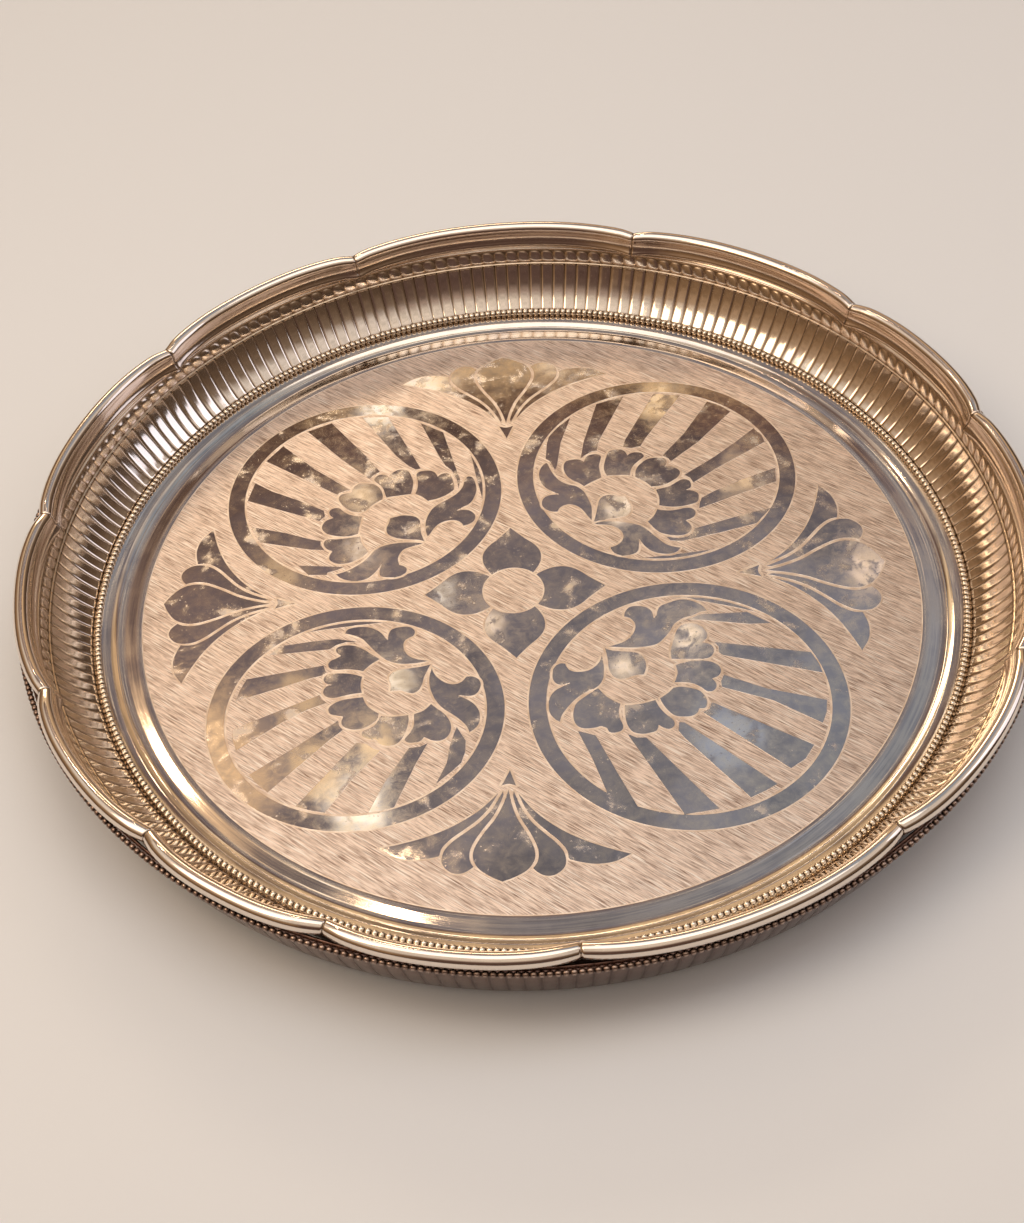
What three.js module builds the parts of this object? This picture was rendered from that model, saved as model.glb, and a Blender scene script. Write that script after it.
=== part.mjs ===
// A round serving plate: a pressed sheet dish with a fluted wall, a scalloped border rolled
// over its lip in twelve lengths, a fluted gallery strip outside, and two beaded wires.
// Sizes are in millimetres. The plate rests on z = 0, and its axis is +Z.

import * as THREE from 'three';

// Dish sheet, worked outwards from the centre along its upper face
const sheetThickness = 1;
const floorRadius = 125.2;
const mouldingWidth = 1.8;
const mouldingRise = 0.8;
const bandWidth = 2.8;
const bandRise = 0.6;
const seatWidth = 2;
const seatRise = 0.7;
const coveWidth = 10;
const coveHeight = 13.3;
const coveTurnWidth = 6;
const coveTurnHeight = 4.5;
const creaseStep = 0.4;
const flareWidth = 3.9;
const flareHeight = 9;

// Flutes pressed into the wall and into the gallery strip
const fluteCount = 216;
const fluteDepth = 0.5;
const galleryFluteDepth = 0.35;
const fluteEndLength = 0.8;

// Scalloped border: twelve lobes between cusps, with spans in degrees that add up to 360
const firstCusp = 15;
const lobeSpans = [25, 33, 39, 30, 32, 28, 24, 22, 25, 35, 28, 39];
const cuspDepth = 2.4;
const cuspDrop = 0.4;
const cuspSharpness = 3;
const borderThickness = 0.6;
const rollRadius = 2.4;
const rollEndAngle = -60;
const apronHeight = 2.9;
const sectionEndGap = 0.3;

// Wires and gallery strip
const rimWireRadius = 1.45;
const innerBeadRadius = 0.95;
const outerBeadRadius = 0.85;
const galleryThickness = 0.7;
const galleryStandOff = 0.6;
const galleryHeight = 20;
const galleryInset = 5.8;
const galleryBulge = 0.5;

// Solder gap between neighbours, and the fineness of the faces
const solderGap = 0.3;
const wireGap = 0.25;
const columnStep = 5;
const evenColumns = 72;
const wireSides = 6;
const rollSteps = 6;
const boreSteps = 4;
const fewestLobeSteps = 4;
const coveStations = [0.3, 0.62];
const undersideStations = [0.75, 0.5, 0.25];
const flareStation = 0.5;

const silver = { color: 0xcdc6bd, roughness: 0.28, metalness: 1 };
const polishedSilver = { color: 0xd8d2ca, roughness: 0.12, metalness: 1 };
const steel = { color: 0x8f8f90, roughness: 0.45, metalness: 1 };

function from(point, width, rise) {
  return new THREE.Vector2(point.x + width, point.y + rise);
}

// Points of the dish's upper face, as radius and height
const floorEdge = new THREE.Vector2(floorRadius, sheetThickness);
const mouldingTop = from(floorEdge, mouldingWidth, mouldingRise);
const seatStart = from(mouldingTop, bandWidth, bandRise);
const seatEnd = from(seatStart, seatWidth, seatRise);
const crease = from(seatEnd, coveWidth, coveHeight);
const flareStart = from(crease, creaseStep, 0);
const lip = from(flareStart, flareWidth, flareHeight);
const coveTurn = from(seatEnd, coveTurnWidth, coveTurnHeight);
const cove = new THREE.QuadraticBezierCurve(seatEnd, coveTurn, crease);

// The roll of the border stands over the lip and closes round the rim wire
const lipToRoll = rollRadius - borderThickness - solderGap;
const rollCentre = from(lip, lipToRoll, rimWireRadius + solderGap);
const flareSlope = flareWidth / flareHeight;

// The gallery strip hangs from the border, just outside the lip
const rollEnd = rollCentre.y + rollRadius * Math.sin(THREE.MathUtils.degToRad(rollEndAngle));
const galleryTopHeight = rollEnd - solderGap - cuspDrop;
const lipOuterRadius = lip.x + sheetThickness - (lip.y - galleryTopHeight) * flareSlope;
const galleryInnerTop = new THREE.Vector2(lipOuterRadius + galleryStandOff, galleryTopHeight);
const galleryOuterTop = from(galleryInnerTop, galleryThickness, 0);
const galleryFluteTop = from(galleryOuterTop, 0, -2 * outerBeadRadius - solderGap);

function evenAzimuths(count) {
  const start = THREE.MathUtils.degToRad(firstCusp);
  return Array.from({ length: count }, (_, index) => start + (2 * Math.PI * index) / count);
}

// One lobe's azimuths in degrees, from one cusp to the next
function lobeDegrees(cusp, span) {
  const steps = Math.max(fewestLobeSteps, Math.round(span / columnStep));
  return Array.from({ length: steps + 1 }, (_, step) => cusp + (span * step) / steps);
}

function cuspDegrees() {
  let cusp = firstCusp;
  return lobeSpans.map((span) => {
    const start = cusp;
    cusp += span;
    return start;
  });
}

function lobeAzimuths() {
  const starts = cuspDegrees();
  const degrees = lobeSpans.flatMap((span, lobe) => lobeDegrees(starts[lobe], span).slice(0, -1));
  return degrees.map((degree) => THREE.MathUtils.degToRad(degree));
}

// How far the border is drawn in, from 0 along a lobe to 1 at a cusp
function cuspDraw(azimuth) {
  const degree = THREE.MathUtils.euclideanModulo(THREE.MathUtils.radToDeg(azimuth) - firstCusp, 360);
  let start = 0;
  for (const span of lobeSpans) {
    if (degree <= start + span) {
      return Math.abs((2 * (degree - start)) / span - 1) ** cuspSharpness;
    }
    start += span;
  }
  return 1;
}

// A point at an azimuth, where share says how much of the cusps' draw it follows
function onRing(point, azimuth, share = 0) {
  const draw = share * cuspDraw(azimuth);
  const radius = point.x - cuspDepth * draw;
  const height = point.y - cuspDrop * draw;
  return new THREE.Vector3(radius * Math.cos(azimuth), radius * Math.sin(azimuth), height);
}

function plainRing(point) {
  const azimuths = evenAzimuths(evenColumns);
  return { azimuths, points: azimuths.map((azimuth) => onRing(point, azimuth)) };
}

function lobedRing(point, share) {
  const azimuths = lobeAzimuths();
  return { azimuths, points: azimuths.map((azimuth) => onRing(point, azimuth, share)) };
}

// Crests and hollows in turn, with each crest raised along the face's normal
function flutedRing(point, normal, depth) {
  const azimuths = evenAzimuths(2 * fluteCount);
  const crest = from(point, normal.x * depth, normal.y * depth);
  return { azimuths, points: azimuths.map((azimuth, index) => onRing(index % 2 ? point : crest, azimuth)) };
}

function poleRing(height) {
  return { azimuths: [THREE.MathUtils.degToRad(firstCusp)], points: [new THREE.Vector3(0, 0, height)] };
}

// Triangles between two rings of any number of points, walked round by azimuth
function bridgeRings(inner, outer, firstInner, firstOuter) {
  const triangles = [];
  const innerCount = inner.points.length;
  const outerCount = outer.points.length;
  let a = 0;
  let b = 0;
  const nextAzimuth = (ring, index) => {
    const turns = 2 * Math.PI * Math.floor((index + 1) / ring.azimuths.length);
    return ring.azimuths[(index + 1) % ring.azimuths.length] + turns;
  };
  const aCount = innerCount > 1 ? innerCount : 0;
  const bCount = outerCount > 1 ? outerCount : 0;
  while (a < aCount || b < bCount) {
    const atInner = firstInner + (a % innerCount);
    const atOuter = firstOuter + (b % outerCount);
    const innerIsNext = b >= bCount || (a < aCount && nextAzimuth(inner, a) <= nextAzimuth(outer, b));
    if (innerIsNext) {
      triangles.push(atInner, atOuter, firstInner + ((a + 1) % innerCount));
      a += 1;
    } else {
      triangles.push(atInner, atOuter, firstOuter + ((b + 1) % outerCount));
      b += 1;
    }
  }
  return triangles;
}

function geometryFrom(points, triangles) {
  const geometry = new THREE.BufferGeometry();
  geometry.setFromPoints(points);
  geometry.setIndex(triangles);
  geometry.computeVertexNormals();
  return geometry;
}

// A closed body from rings in order, up its face and back along its underside
function loftRings(rings, closed) {
  const points = rings.flatMap((ring) => ring.points);
  const firsts = [];
  let total = 0;
  for (const ring of rings) {
    firsts.push(total);
    total += ring.points.length;
  }
  const joins = closed ? rings.length : rings.length - 1;
  const triangles = [];
  for (let index = 0; index < joins; index += 1) {
    const next = (index + 1) % rings.length;
    triangles.push(...bridgeRings(rings[index], rings[next], firsts[index], firsts[next]));
  }
  return geometryFrom(points, triangles);
}

// A closed body from like outlines set one after another, capped at both ends
function loftOutlines(outlines, outline) {
  const count = outline.length;
  const triangles = [];
  for (let row = 0; row < outlines.length - 1; row += 1) {
    for (let column = 0; column < count; column += 1) {
      const here = row * count + column;
      const beside = row * count + ((column + 1) % count);
      triangles.push(here, beside, here + count);
      triangles.push(beside, beside + count, here + count);
    }
  }
  const last = (outlines.length - 1) * count;
  for (const [a, b, c] of THREE.ShapeUtils.triangulateShape(outline, [])) {
    triangles.push(a, b, c);
    triangles.push(last + a, last + c, last + b);
  }
  return geometryFrom(outlines.flat(), triangles);
}

function normalAt(parameter) {
  const along = cove.getTangent(parameter);
  return new THREE.Vector2(-along.y, along.x);
}

function belowCove(parameter) {
  const point = cove.getPoint(parameter);
  const normal = normalAt(parameter);
  return from(point, -normal.x * sheetThickness, -normal.y * sheetThickness);
}

// The pressed dish: flat floor, step moulding, sloped band, fluted cove and flared lip
function dishGeometry() {
  const endShare = fluteEndLength / cove.getLength();
  const stations = [endShare, ...coveStations, 1 - endShare];
  const fluted = stations.map((at) => flutedRing(cove.getPoint(at), normalAt(at), fluteDepth));
  const middle = from(flareStart, flareWidth * flareStation, flareHeight * flareStation);
  const upper = [
    poleRing(sheetThickness),
    plainRing(floorEdge),
    plainRing(mouldingTop),
    plainRing(seatStart),
    plainRing(seatEnd),
    ...fluted,
    plainRing(crease),
    plainRing(flareStart),
    lobedRing(middle, flareStation),
    lobedRing(lip, 1),
  ];
  const lower = [
    lobedRing(from(lip, sheetThickness, 0), 1),
    lobedRing(from(middle, sheetThickness, 0), flareStation),
    plainRing(from(flareStart, sheetThickness, -creaseStep)),
    ...undersideStations.map((at) => plainRing(belowCove(at))),
    plainRing(from(seatEnd, sheetThickness / 2, -sheetThickness)),
    plainRing(from(mouldingTop, sheetThickness / 2, -sheetThickness)),
    plainRing(new THREE.Vector2(floorRadius + sheetThickness / 2, 0)),
    poleRing(0),
  ];
  return loftRings([...upper, ...lower], false);
}

function arcPoints(centre, radius, firstAngle, lastAngle, steps) {
  return Array.from({ length: steps + 1 }, (_, step) => {
    const angle = THREE.MathUtils.degToRad(firstAngle + ((lastAngle - firstAngle) * step) / steps);
    return from(centre, radius * Math.cos(angle), radius * Math.sin(angle));
  });
}

// Section of the border sheet: an apron down the inside of the lip and a roll over the wire
function borderOutline() {
  const apronTop = from(lip, -solderGap, 0);
  const apronToe = from(apronTop, -apronHeight * flareSlope, -apronHeight);
  const bore = rollRadius - borderThickness;
  return [
    from(apronToe, -borderThickness, 0),
    from(apronTop, -borderThickness, 0),
    ...arcPoints(rollCentre, rollRadius, 180, rollEndAngle, rollSteps),
    ...arcPoints(rollCentre, bore, rollEndAngle, 180, boreSteps),
    apronTop,
    apronToe,
  ];
}

function borderSectionGeometry(cusp, span) {
  const outline = borderOutline();
  const endTrim = THREE.MathUtils.radToDeg(sectionEndGap / 2 / rollCentre.x);
  const degrees = lobeDegrees(cusp, span);
  degrees[0] += endTrim;
  degrees[degrees.length - 1] -= endTrim;
  const outlines = degrees.map((degree) => {
    const azimuth = THREE.MathUtils.degToRad(degree);
    return outline.map((point) => onRing(point, azimuth, 1));
  });
  return loftOutlines(outlines, outline);
}

function circlePoints(centre, radius) {
  return arcPoints(centre, radius, 0, 360, wireSides).slice(0, -1);
}

// The wire inside the rolled border follows its lobes
function rimWireGeometry() {
  const rings = circlePoints(rollCentre, rimWireRadius).map((point) => lobedRing(point, 1));
  return loftRings(rings.reverse(), true);
}

function ringWireGeometry(centre, radius) {
  const section = circlePoints(centre, radius);
  return new THREE.LatheGeometry([...section, section[0]], evenColumns).rotateX(Math.PI / 2);
}

// The beaded wire at the foot of the wall lies on the sloped seat of the dish
function innerBeadGeometry() {
  const along = new THREE.Vector2(seatWidth, seatRise).normalize();
  const middle = from(seatStart, seatWidth / 2, seatRise / 2);
  const reach = innerBeadRadius + wireGap;
  return ringWireGeometry(from(middle, -along.y * reach, along.x * reach), innerBeadRadius);
}

// The outer beaded wire covers the top edge of the gallery strip
function outerBeadGeometry() {
  const reach = outerBeadRadius + wireGap;
  return ringWireGeometry(from(galleryOuterTop, reach, -outerBeadRadius), outerBeadRadius);
}

// The gallery strip: a fluted band that leans in towards its foot
function galleryGeometry() {
  const depth = galleryFluteDepth;
  const flutedHeight = galleryHeight - (galleryOuterTop.y - galleryFluteTop.y);
  const foot = from(galleryFluteTop, -galleryInset, -flutedHeight);
  const middle = from(galleryFluteTop, galleryBulge - galleryInset / 2, -flutedHeight / 2);
  const outwards = new THREE.Vector2(1, 0);
  const rings = [
    plainRing(galleryOuterTop),
    plainRing(galleryFluteTop),
    flutedRing(from(galleryFluteTop, 0, -fluteEndLength), outwards, depth),
    flutedRing(middle, outwards, depth),
    flutedRing(from(foot, 0, fluteEndLength), outwards, depth),
    plainRing(foot),
    plainRing(from(foot, -galleryThickness, 0)),
    plainRing(from(middle, -galleryThickness, 0)),
    plainRing(galleryInnerTop),
  ];
  return loftRings(rings, true);
}

function namedMesh(name, geometry, finish) {
  const mesh = new THREE.Mesh(geometry, new THREE.MeshStandardMaterial(finish));
  mesh.name = name;
  return mesh;
}

const plate = new THREE.Group();
plate.name = 'thali_plate';
plate.add(namedMesh('dish_body', dishGeometry(), silver));
cuspDegrees().forEach((cusp, lobe) => {
  const name = `rim_section_${String(lobe + 1).padStart(2, '0')}`;
  plate.add(namedMesh(name, borderSectionGeometry(cusp, lobeSpans[lobe]), polishedSilver));
});
plate.add(namedMesh('rim_wire', rimWireGeometry(), steel));
plate.add(namedMesh('inner_bead_wire', innerBeadGeometry(), polishedSilver));
plate.add(namedMesh('outer_gallery', galleryGeometry(), silver));
plate.add(namedMesh('outer_bead_wire', outerBeadGeometry(), polishedSilver));

export default plate;
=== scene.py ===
# Scalloped serving plate in silver plate, dressed around its CAD frame.
# Sizes are in millimetres until they reach Blender, which takes metres.
import bmesh
import bpy
import math
from mathutils import Matrix, Vector
from mathutils.geometry import delaunay_2d_cdt


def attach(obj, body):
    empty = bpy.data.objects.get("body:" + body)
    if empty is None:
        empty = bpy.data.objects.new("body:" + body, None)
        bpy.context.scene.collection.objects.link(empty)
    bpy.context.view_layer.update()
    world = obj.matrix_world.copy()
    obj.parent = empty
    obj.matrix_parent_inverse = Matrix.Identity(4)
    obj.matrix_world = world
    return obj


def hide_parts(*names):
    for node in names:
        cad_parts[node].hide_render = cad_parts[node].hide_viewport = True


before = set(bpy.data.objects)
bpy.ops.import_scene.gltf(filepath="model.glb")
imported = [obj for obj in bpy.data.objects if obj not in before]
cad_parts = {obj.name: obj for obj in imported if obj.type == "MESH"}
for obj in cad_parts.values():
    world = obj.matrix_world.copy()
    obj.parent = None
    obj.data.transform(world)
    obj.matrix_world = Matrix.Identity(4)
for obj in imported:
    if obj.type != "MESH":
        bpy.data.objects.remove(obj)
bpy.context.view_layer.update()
mm = 0.001
print("frame loaded:", len(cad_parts), "nodes")


# Small helpers

def linearChannel(value):
    return value / 12.92 if value <= 0.04045 else ((value + 0.055) / 1.055) ** 2.4


def hexColour(text):
    channels = [int(text[at:at + 2], 16) / 255 for at in (1, 3, 5)]
    return (*[linearChannel(channel) for channel in channels], 1.0)


def addNode(tree, kind, settings=None, links=None):
    node = tree.nodes.new(kind)
    for name, value in (settings or {}).items():
        if name == "ramp":
            elements = node.color_ramp.elements
            while len(elements) < len(value):
                elements.new(0.5)
            for element, (position, colour) in zip(elements, value):
                element.position = position
                element.color = hexColour(colour)
        elif isinstance(name, int) or name in node.inputs:
            node.inputs[name].default_value = value
        else:
            setattr(node, name, value)
    for name, socket in (links or {}).items():
        tree.links.new(socket, node.inputs[name])
    return node


def newMaterial(name):
    material = bpy.data.materials.new(name)
    material.use_nodes = True
    material.node_tree.nodes.clear()
    return material, material.node_tree


def finishMaterial(tree, settings, links):
    shader = addNode(tree, "ShaderNodeBsdfPrincipled", settings, links)
    addNode(tree, "ShaderNodeOutputMaterial", links={"Surface": shader.outputs["BSDF"]})


def addObject(name, data):
    item = bpy.data.objects.new(name, data)
    bpy.context.scene.collection.objects.link(item)
    return item


def addPiece(name, points, faces, materials, replaced):
    mesh = bpy.data.meshes.new(name)
    mesh.from_pydata([[value * mm for value in point] for point in points], [], faces)
    for material in materials:
        mesh.materials.append(material)
    mesh.update()
    piece = addObject(name, mesh)
    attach(piece, "root")
    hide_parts(*replaced)
    return piece


# The darkening of pressed silver follows this, partly tarnish and partly painted shade in grooves, creases
# and recesses: 0 on crests, 1 at the bottom of a hollow
def setHollows(mesh, hollows):
    attribute = mesh.attributes.new("hollow", "FLOAT", "POINT")
    attribute.data.foreach_set("value", hollows)


def smoothShade(piece):
    piece.data.polygons.foreach_set("use_smooth", [True] * len(piece.data.polygons))
    piece.data.update()


def turnOutwards(piece):
    shape = bmesh.new()
    shape.from_mesh(piece.data)
    bmesh.ops.recalc_face_normals(shape, faces=shape.faces)
    shape.to_mesh(piece.data)
    shape.free()
    piece.data.update()


# Rows of points joined into quads: each row closes on itself, and the rows may close in a ring
def gridFaces(rowCount, columnCount, closeRows):
    faces = []
    for row in range(rowCount if closeRows else rowCount - 1):
        here = row * columnCount
        above = (row + 1) % rowCount * columnCount
        for column in range(columnCount):
            beside = (column + 1) % columnCount
            faces.append((here + column, here + beside, above + beside, above + column))
    return faces


# Materials

satin = {
    "tones": [(0.43, "#8C7263"), (0.73, "#F8E6D8")], "roughLow": 0.38, "roughHigh": 0.52,
    "strokeWidth": 0.32, "strokeLength": 6.5, "direction": -38, "bumpDepth": 0.03, "bumpStrength": 0.55,
    "anisotropy": 0.5, "patch": 7, "patchWeight": 0.26,
    "scratchGlint": "#FFF8F0", "scratchShow": 0.85, "scratchWidth": 0.34, "scratchLength": 9.5,
}


# Satin-brushed silver plate: the ground was scratch-brushed one way through a stencil, so it
# glows broadly across the strokes and stays pale from most sides
def makeSatinSilver():
    material, tree = newMaterial("satinBrushedSilverPlate")
    place = addNode(tree, "ShaderNodeTexCoord")
    turned = addNode(tree, "ShaderNodeMapping", {
        "vector_type": "TEXTURE", "Rotation": (0, 0, math.radians(satin["direction"])),
    }, {"Vector": place.outputs["Object"]})
    # real strokes are about 0.1 mm wide; they are drawn wider so that they show in the render
    stretched = addNode(tree, "ShaderNodeMapping", {
        "Scale": (1 / (satin["strokeLength"] * mm), 1 / (satin["strokeWidth"] * mm), 1),
    }, {"Vector": turned.outputs["Vector"]})
    strokes = addNode(tree, "ShaderNodeTexNoise", {
        "Scale": 1, "Detail": 4, "Roughness": 0.6, "Distortion": 0.5,
    }, {"Vector": stretched.outputs["Vector"]})
    clouds = addNode(tree, "ShaderNodeTexNoise", {
        "Scale": 1 / (satin["patch"] * mm), "Detail": 4, "Roughness": 0.6,
    }, {"Vector": place.outputs["Object"]})
    blend = addNode(tree, "ShaderNodeMath", {"operation": "MULTIPLY_ADD", 1: satin["patchWeight"]}, {
        0: clouds.outputs["Fac"], 2: strokes.outputs["Fac"]})
    ground = addNode(tree, "ShaderNodeValToRGB", {"ramp": satin["tones"]}, {"Fac": blend.outputs[0]})
    # single scratches among the strokes, painted brighter as glints, moved along so that they don't repeat
    # them
    spaced = addNode(tree, "ShaderNodeMapping", {
        "Scale": (1 / (satin["scratchLength"] * mm), 1 / (satin["scratchWidth"] * mm), 1),
        "Location": (7, 3, 5),
    }, {"Vector": turned.outputs["Vector"]})
    bright = addNode(tree, "ShaderNodeTexNoise", {
        "Scale": 1, "Detail": 1,
    }, {"Vector": spaced.outputs["Vector"]})
    # painted glints: the scratches are mixed in as a pale cream
    scratchGlint = addNode(tree, "ShaderNodeMapRange", {
        "From Min": 0.57, "From Max": 0.67, "To Min": 0, "To Max": satin["scratchShow"],
    }, {"Value": bright.outputs["Fac"]})
    colour = addNode(tree, "ShaderNodeMix", {"data_type": "RGBA", 7: hexColour(satin["scratchGlint"])}, {
        0: scratchGlint.outputs["Result"], 6: ground.outputs["Color"]})
    rough = addNode(tree, "ShaderNodeMapRange", {
        "From Min": 0.3, "From Max": 0.7, "To Min": satin["roughLow"], "To Max": satin["roughHigh"],
    }, {"Value": strokes.outputs["Fac"]})
    bump = addNode(tree, "ShaderNodeBump", {
        "Strength": satin["bumpStrength"], "Distance": satin["bumpDepth"] * mm,
    }, {"Height": strokes.outputs["Fac"]})
    along = addNode(tree, "ShaderNodeTangent", {"direction_type": "UV_MAP", "uv_map": "brushing"})
    finishMaterial(tree, {"Metallic": 1, "Anisotropic": satin["anisotropy"]}, {
        "Base Color": colour.outputs[2], "Roughness": rough.outputs["Result"],
        "Normal": bump.outputs["Normal"], "Tangent": along.outputs["Tangent"],
    })
    return material


cutLine = {"tones": [(0.35, "#D8C3B0"), (0.65, "#F6E8DA")], "rough": 0.5, "patch": 4}


# Line left round each motif by the stencil's edge: plain silver plate, paler and smoother than
# the brushed ground
def makeCutSilver():
    material, tree = newMaterial("smoothStencilLineSilverPlate")
    place = addNode(tree, "ShaderNodeTexCoord")
    patches = addNode(tree, "ShaderNodeTexNoise", {
        "Scale": 1 / (cutLine["patch"] * mm), "Detail": 3,
    }, {"Vector": place.outputs["Object"]})
    colour = addNode(tree, "ShaderNodeValToRGB", {"ramp": cutLine["tones"]}, {"Fac": patches.outputs["Fac"]})
    finishMaterial(tree, {"Metallic": 1, "Roughness": cutLine["rough"]}, {
        "Base Color": colour.outputs["Color"],
    })
    return material


mirror = {
    "tones": [(0.36, "#CBC4C2"), (0.72, "#EFE1CE")], "cloud": 3.6, "roughClean": 0.045, "roughHazed": 0.1,
    "wornPatch": 8, "roughWorn": 0.3, "speck": 0.9, "speckGather": 0.5, "roughSpeck": 0.2,
    "waviness": 0.035, "waveLength": 12,
}


# Mirror-polished silver plate: buffed after plating and since handled, so it mirrors the room
# darkly, and glows near a lamp's reflection in wisps and specks that wear has roughened
def makeMirrorSilver():
    material, tree = newMaterial("mirrorPolishedSilverPlate")
    place = addNode(tree, "ShaderNodeTexCoord")
    clouds = addNode(tree, "ShaderNodeTexNoise", {
        "Scale": 1 / (mirror["cloud"] * mm), "Detail": 4, "Roughness": 0.6, "Distortion": 0.4,
    }, {"Vector": place.outputs["Object"]})
    worn = addNode(tree, "ShaderNodeTexNoise", {
        "Scale": 1 / (mirror["wornPatch"] * mm), "Detail": 3, "Roughness": 0.45, "Distortion": 0.5,
    }, {"Vector": place.outputs["Object"]})
    # real specks are finer; they are drawn at 0.9 mm so that they show in the render
    specks = addNode(tree, "ShaderNodeTexNoise", {
        "Scale": 1 / (mirror["speck"] * mm), "Detail": 2,
    }, {"Vector": place.outputs["Object"]})
    waves = addNode(tree, "ShaderNodeTexNoise", {
        "Scale": 1 / (mirror["waveLength"] * mm), "Detail": 1.5,
    }, {"Vector": place.outputs["Object"]})
    colour = addNode(tree, "ShaderNodeValToRGB", {"ramp": mirror["tones"]}, {"Fac": clouds.outputs["Fac"]})
    haze = addNode(tree, "ShaderNodeMapRange", {
        "From Min": 0.4, "From Max": 0.75, "To Min": mirror["roughClean"], "To Max": mirror["roughHazed"],
    }, {"Value": clouds.outputs["Fac"]})
    wear = addNode(tree, "ShaderNodeMapRange", {
        "interpolation_type": "SMOOTHSTEP",
        "From Min": 0.53, "From Max": 0.78, "To Min": 0, "To Max": mirror["roughWorn"],
    }, {"Value": worn.outputs["Fac"]})
    hazeAndWear = addNode(tree, "ShaderNodeMath", {"operation": "ADD"}, {
        0: haze.outputs["Result"], 1: wear.outputs["Result"]})
    # specks gather where the plate is worn
    gathered = addNode(tree, "ShaderNodeMath", {"operation": "MULTIPLY_ADD", 1: mirror["speckGather"]}, {
        0: worn.outputs["Fac"], 2: specks.outputs["Fac"]})
    specked = addNode(tree, "ShaderNodeMapRange", {
        "From Min": 0.9, "From Max": 1.02, "To Min": 0, "To Max": mirror["roughSpeck"],
    }, {"Value": gathered.outputs[0]})
    rough = addNode(tree, "ShaderNodeMath", {"operation": "ADD"}, {
        0: hazeAndWear.outputs[0], 1: specked.outputs["Result"]})
    bump = addNode(tree, "ShaderNodeBump", {
        "Strength": 1, "Distance": mirror["waviness"] * mm,
    }, {"Height": waves.outputs["Fac"]})
    finishMaterial(tree, {"Metallic": 1}, {
        "Base Color": colour.outputs["Color"], "Roughness": rough.outputs[0],
        "Normal": bump.outputs["Normal"],
    })
    return material


spun = {
    "tones": [(0.75, "#C8BFBA"), (1.0, "#E4D8CA")], "roughClean": 0.07, "roughStreak": 0.13,
    "streakWidth": 0.7, "streakLength": 26, "radius": 122, "grooveDepth": 0.006, "patch": 14,
    "patchWeight": 0.9,
}


# Spun silver plate round the margin: polished in the lathe, so fine streaks run round it and
# draw each reflection out along the ring
def makeSpunSilver():
    material, tree = newMaterial("spunPolishedSilverPlate")
    place = addNode(tree, "ShaderNodeTexCoord")
    outwards = addNode(tree, "ShaderNodeVectorMath", {"operation": "NORMALIZE"}, {
        0: place.outputs["Object"]})
    around = addNode(tree, "ShaderNodeVectorMath", {
        "operation": "SCALE", "Scale": spun["radius"] / spun["streakLength"],
    }, {0: outwards.outputs["Vector"]})
    radius = addNode(tree, "ShaderNodeVectorMath", {"operation": "LENGTH"}, {0: place.outputs["Object"]})
    across = addNode(tree, "ShaderNodeMath", {
        "operation": "MULTIPLY", 1: 1 / (spun["streakWidth"] * mm),
    }, {0: radius.outputs["Value"]})
    height = addNode(tree, "ShaderNodeCombineXYZ", links={"Z": across.outputs[0]})
    stretched = addNode(tree, "ShaderNodeVectorMath", {"operation": "ADD"}, {
        0: around.outputs["Vector"], 1: height.outputs["Vector"]})
    streaks = addNode(tree, "ShaderNodeTexNoise", {
        "Scale": 1, "Detail": 4, "Roughness": 0.6,
    }, {"Vector": stretched.outputs["Vector"]})
    patches = addNode(tree, "ShaderNodeTexNoise", {
        "Scale": 1 / (spun["patch"] * mm), "Detail": 3,
    }, {"Vector": place.outputs["Object"]})
    blend = addNode(tree, "ShaderNodeMath", {"operation": "MULTIPLY_ADD", 1: spun["patchWeight"]}, {
        0: patches.outputs["Fac"], 2: streaks.outputs["Fac"]})
    colour = addNode(tree, "ShaderNodeValToRGB", {"ramp": spun["tones"]}, {"Fac": blend.outputs[0]})
    rough = addNode(tree, "ShaderNodeMapRange", {
        "From Min": 0.9, "From Max": 1.2, "To Min": spun["roughClean"], "To Max": spun["roughStreak"],
    }, {"Value": blend.outputs[0]})
    bump = addNode(tree, "ShaderNodeBump", {
        "Strength": 1, "Distance": spun["grooveDepth"] * mm,
    }, {"Height": streaks.outputs["Fac"]})
    finishMaterial(tree, {"Metallic": 1}, {
        "Base Color": colour.outputs["Color"], "Roughness": rough.outputs["Result"],
        "Normal": bump.outputs["Normal"],
    })
    return material
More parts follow.
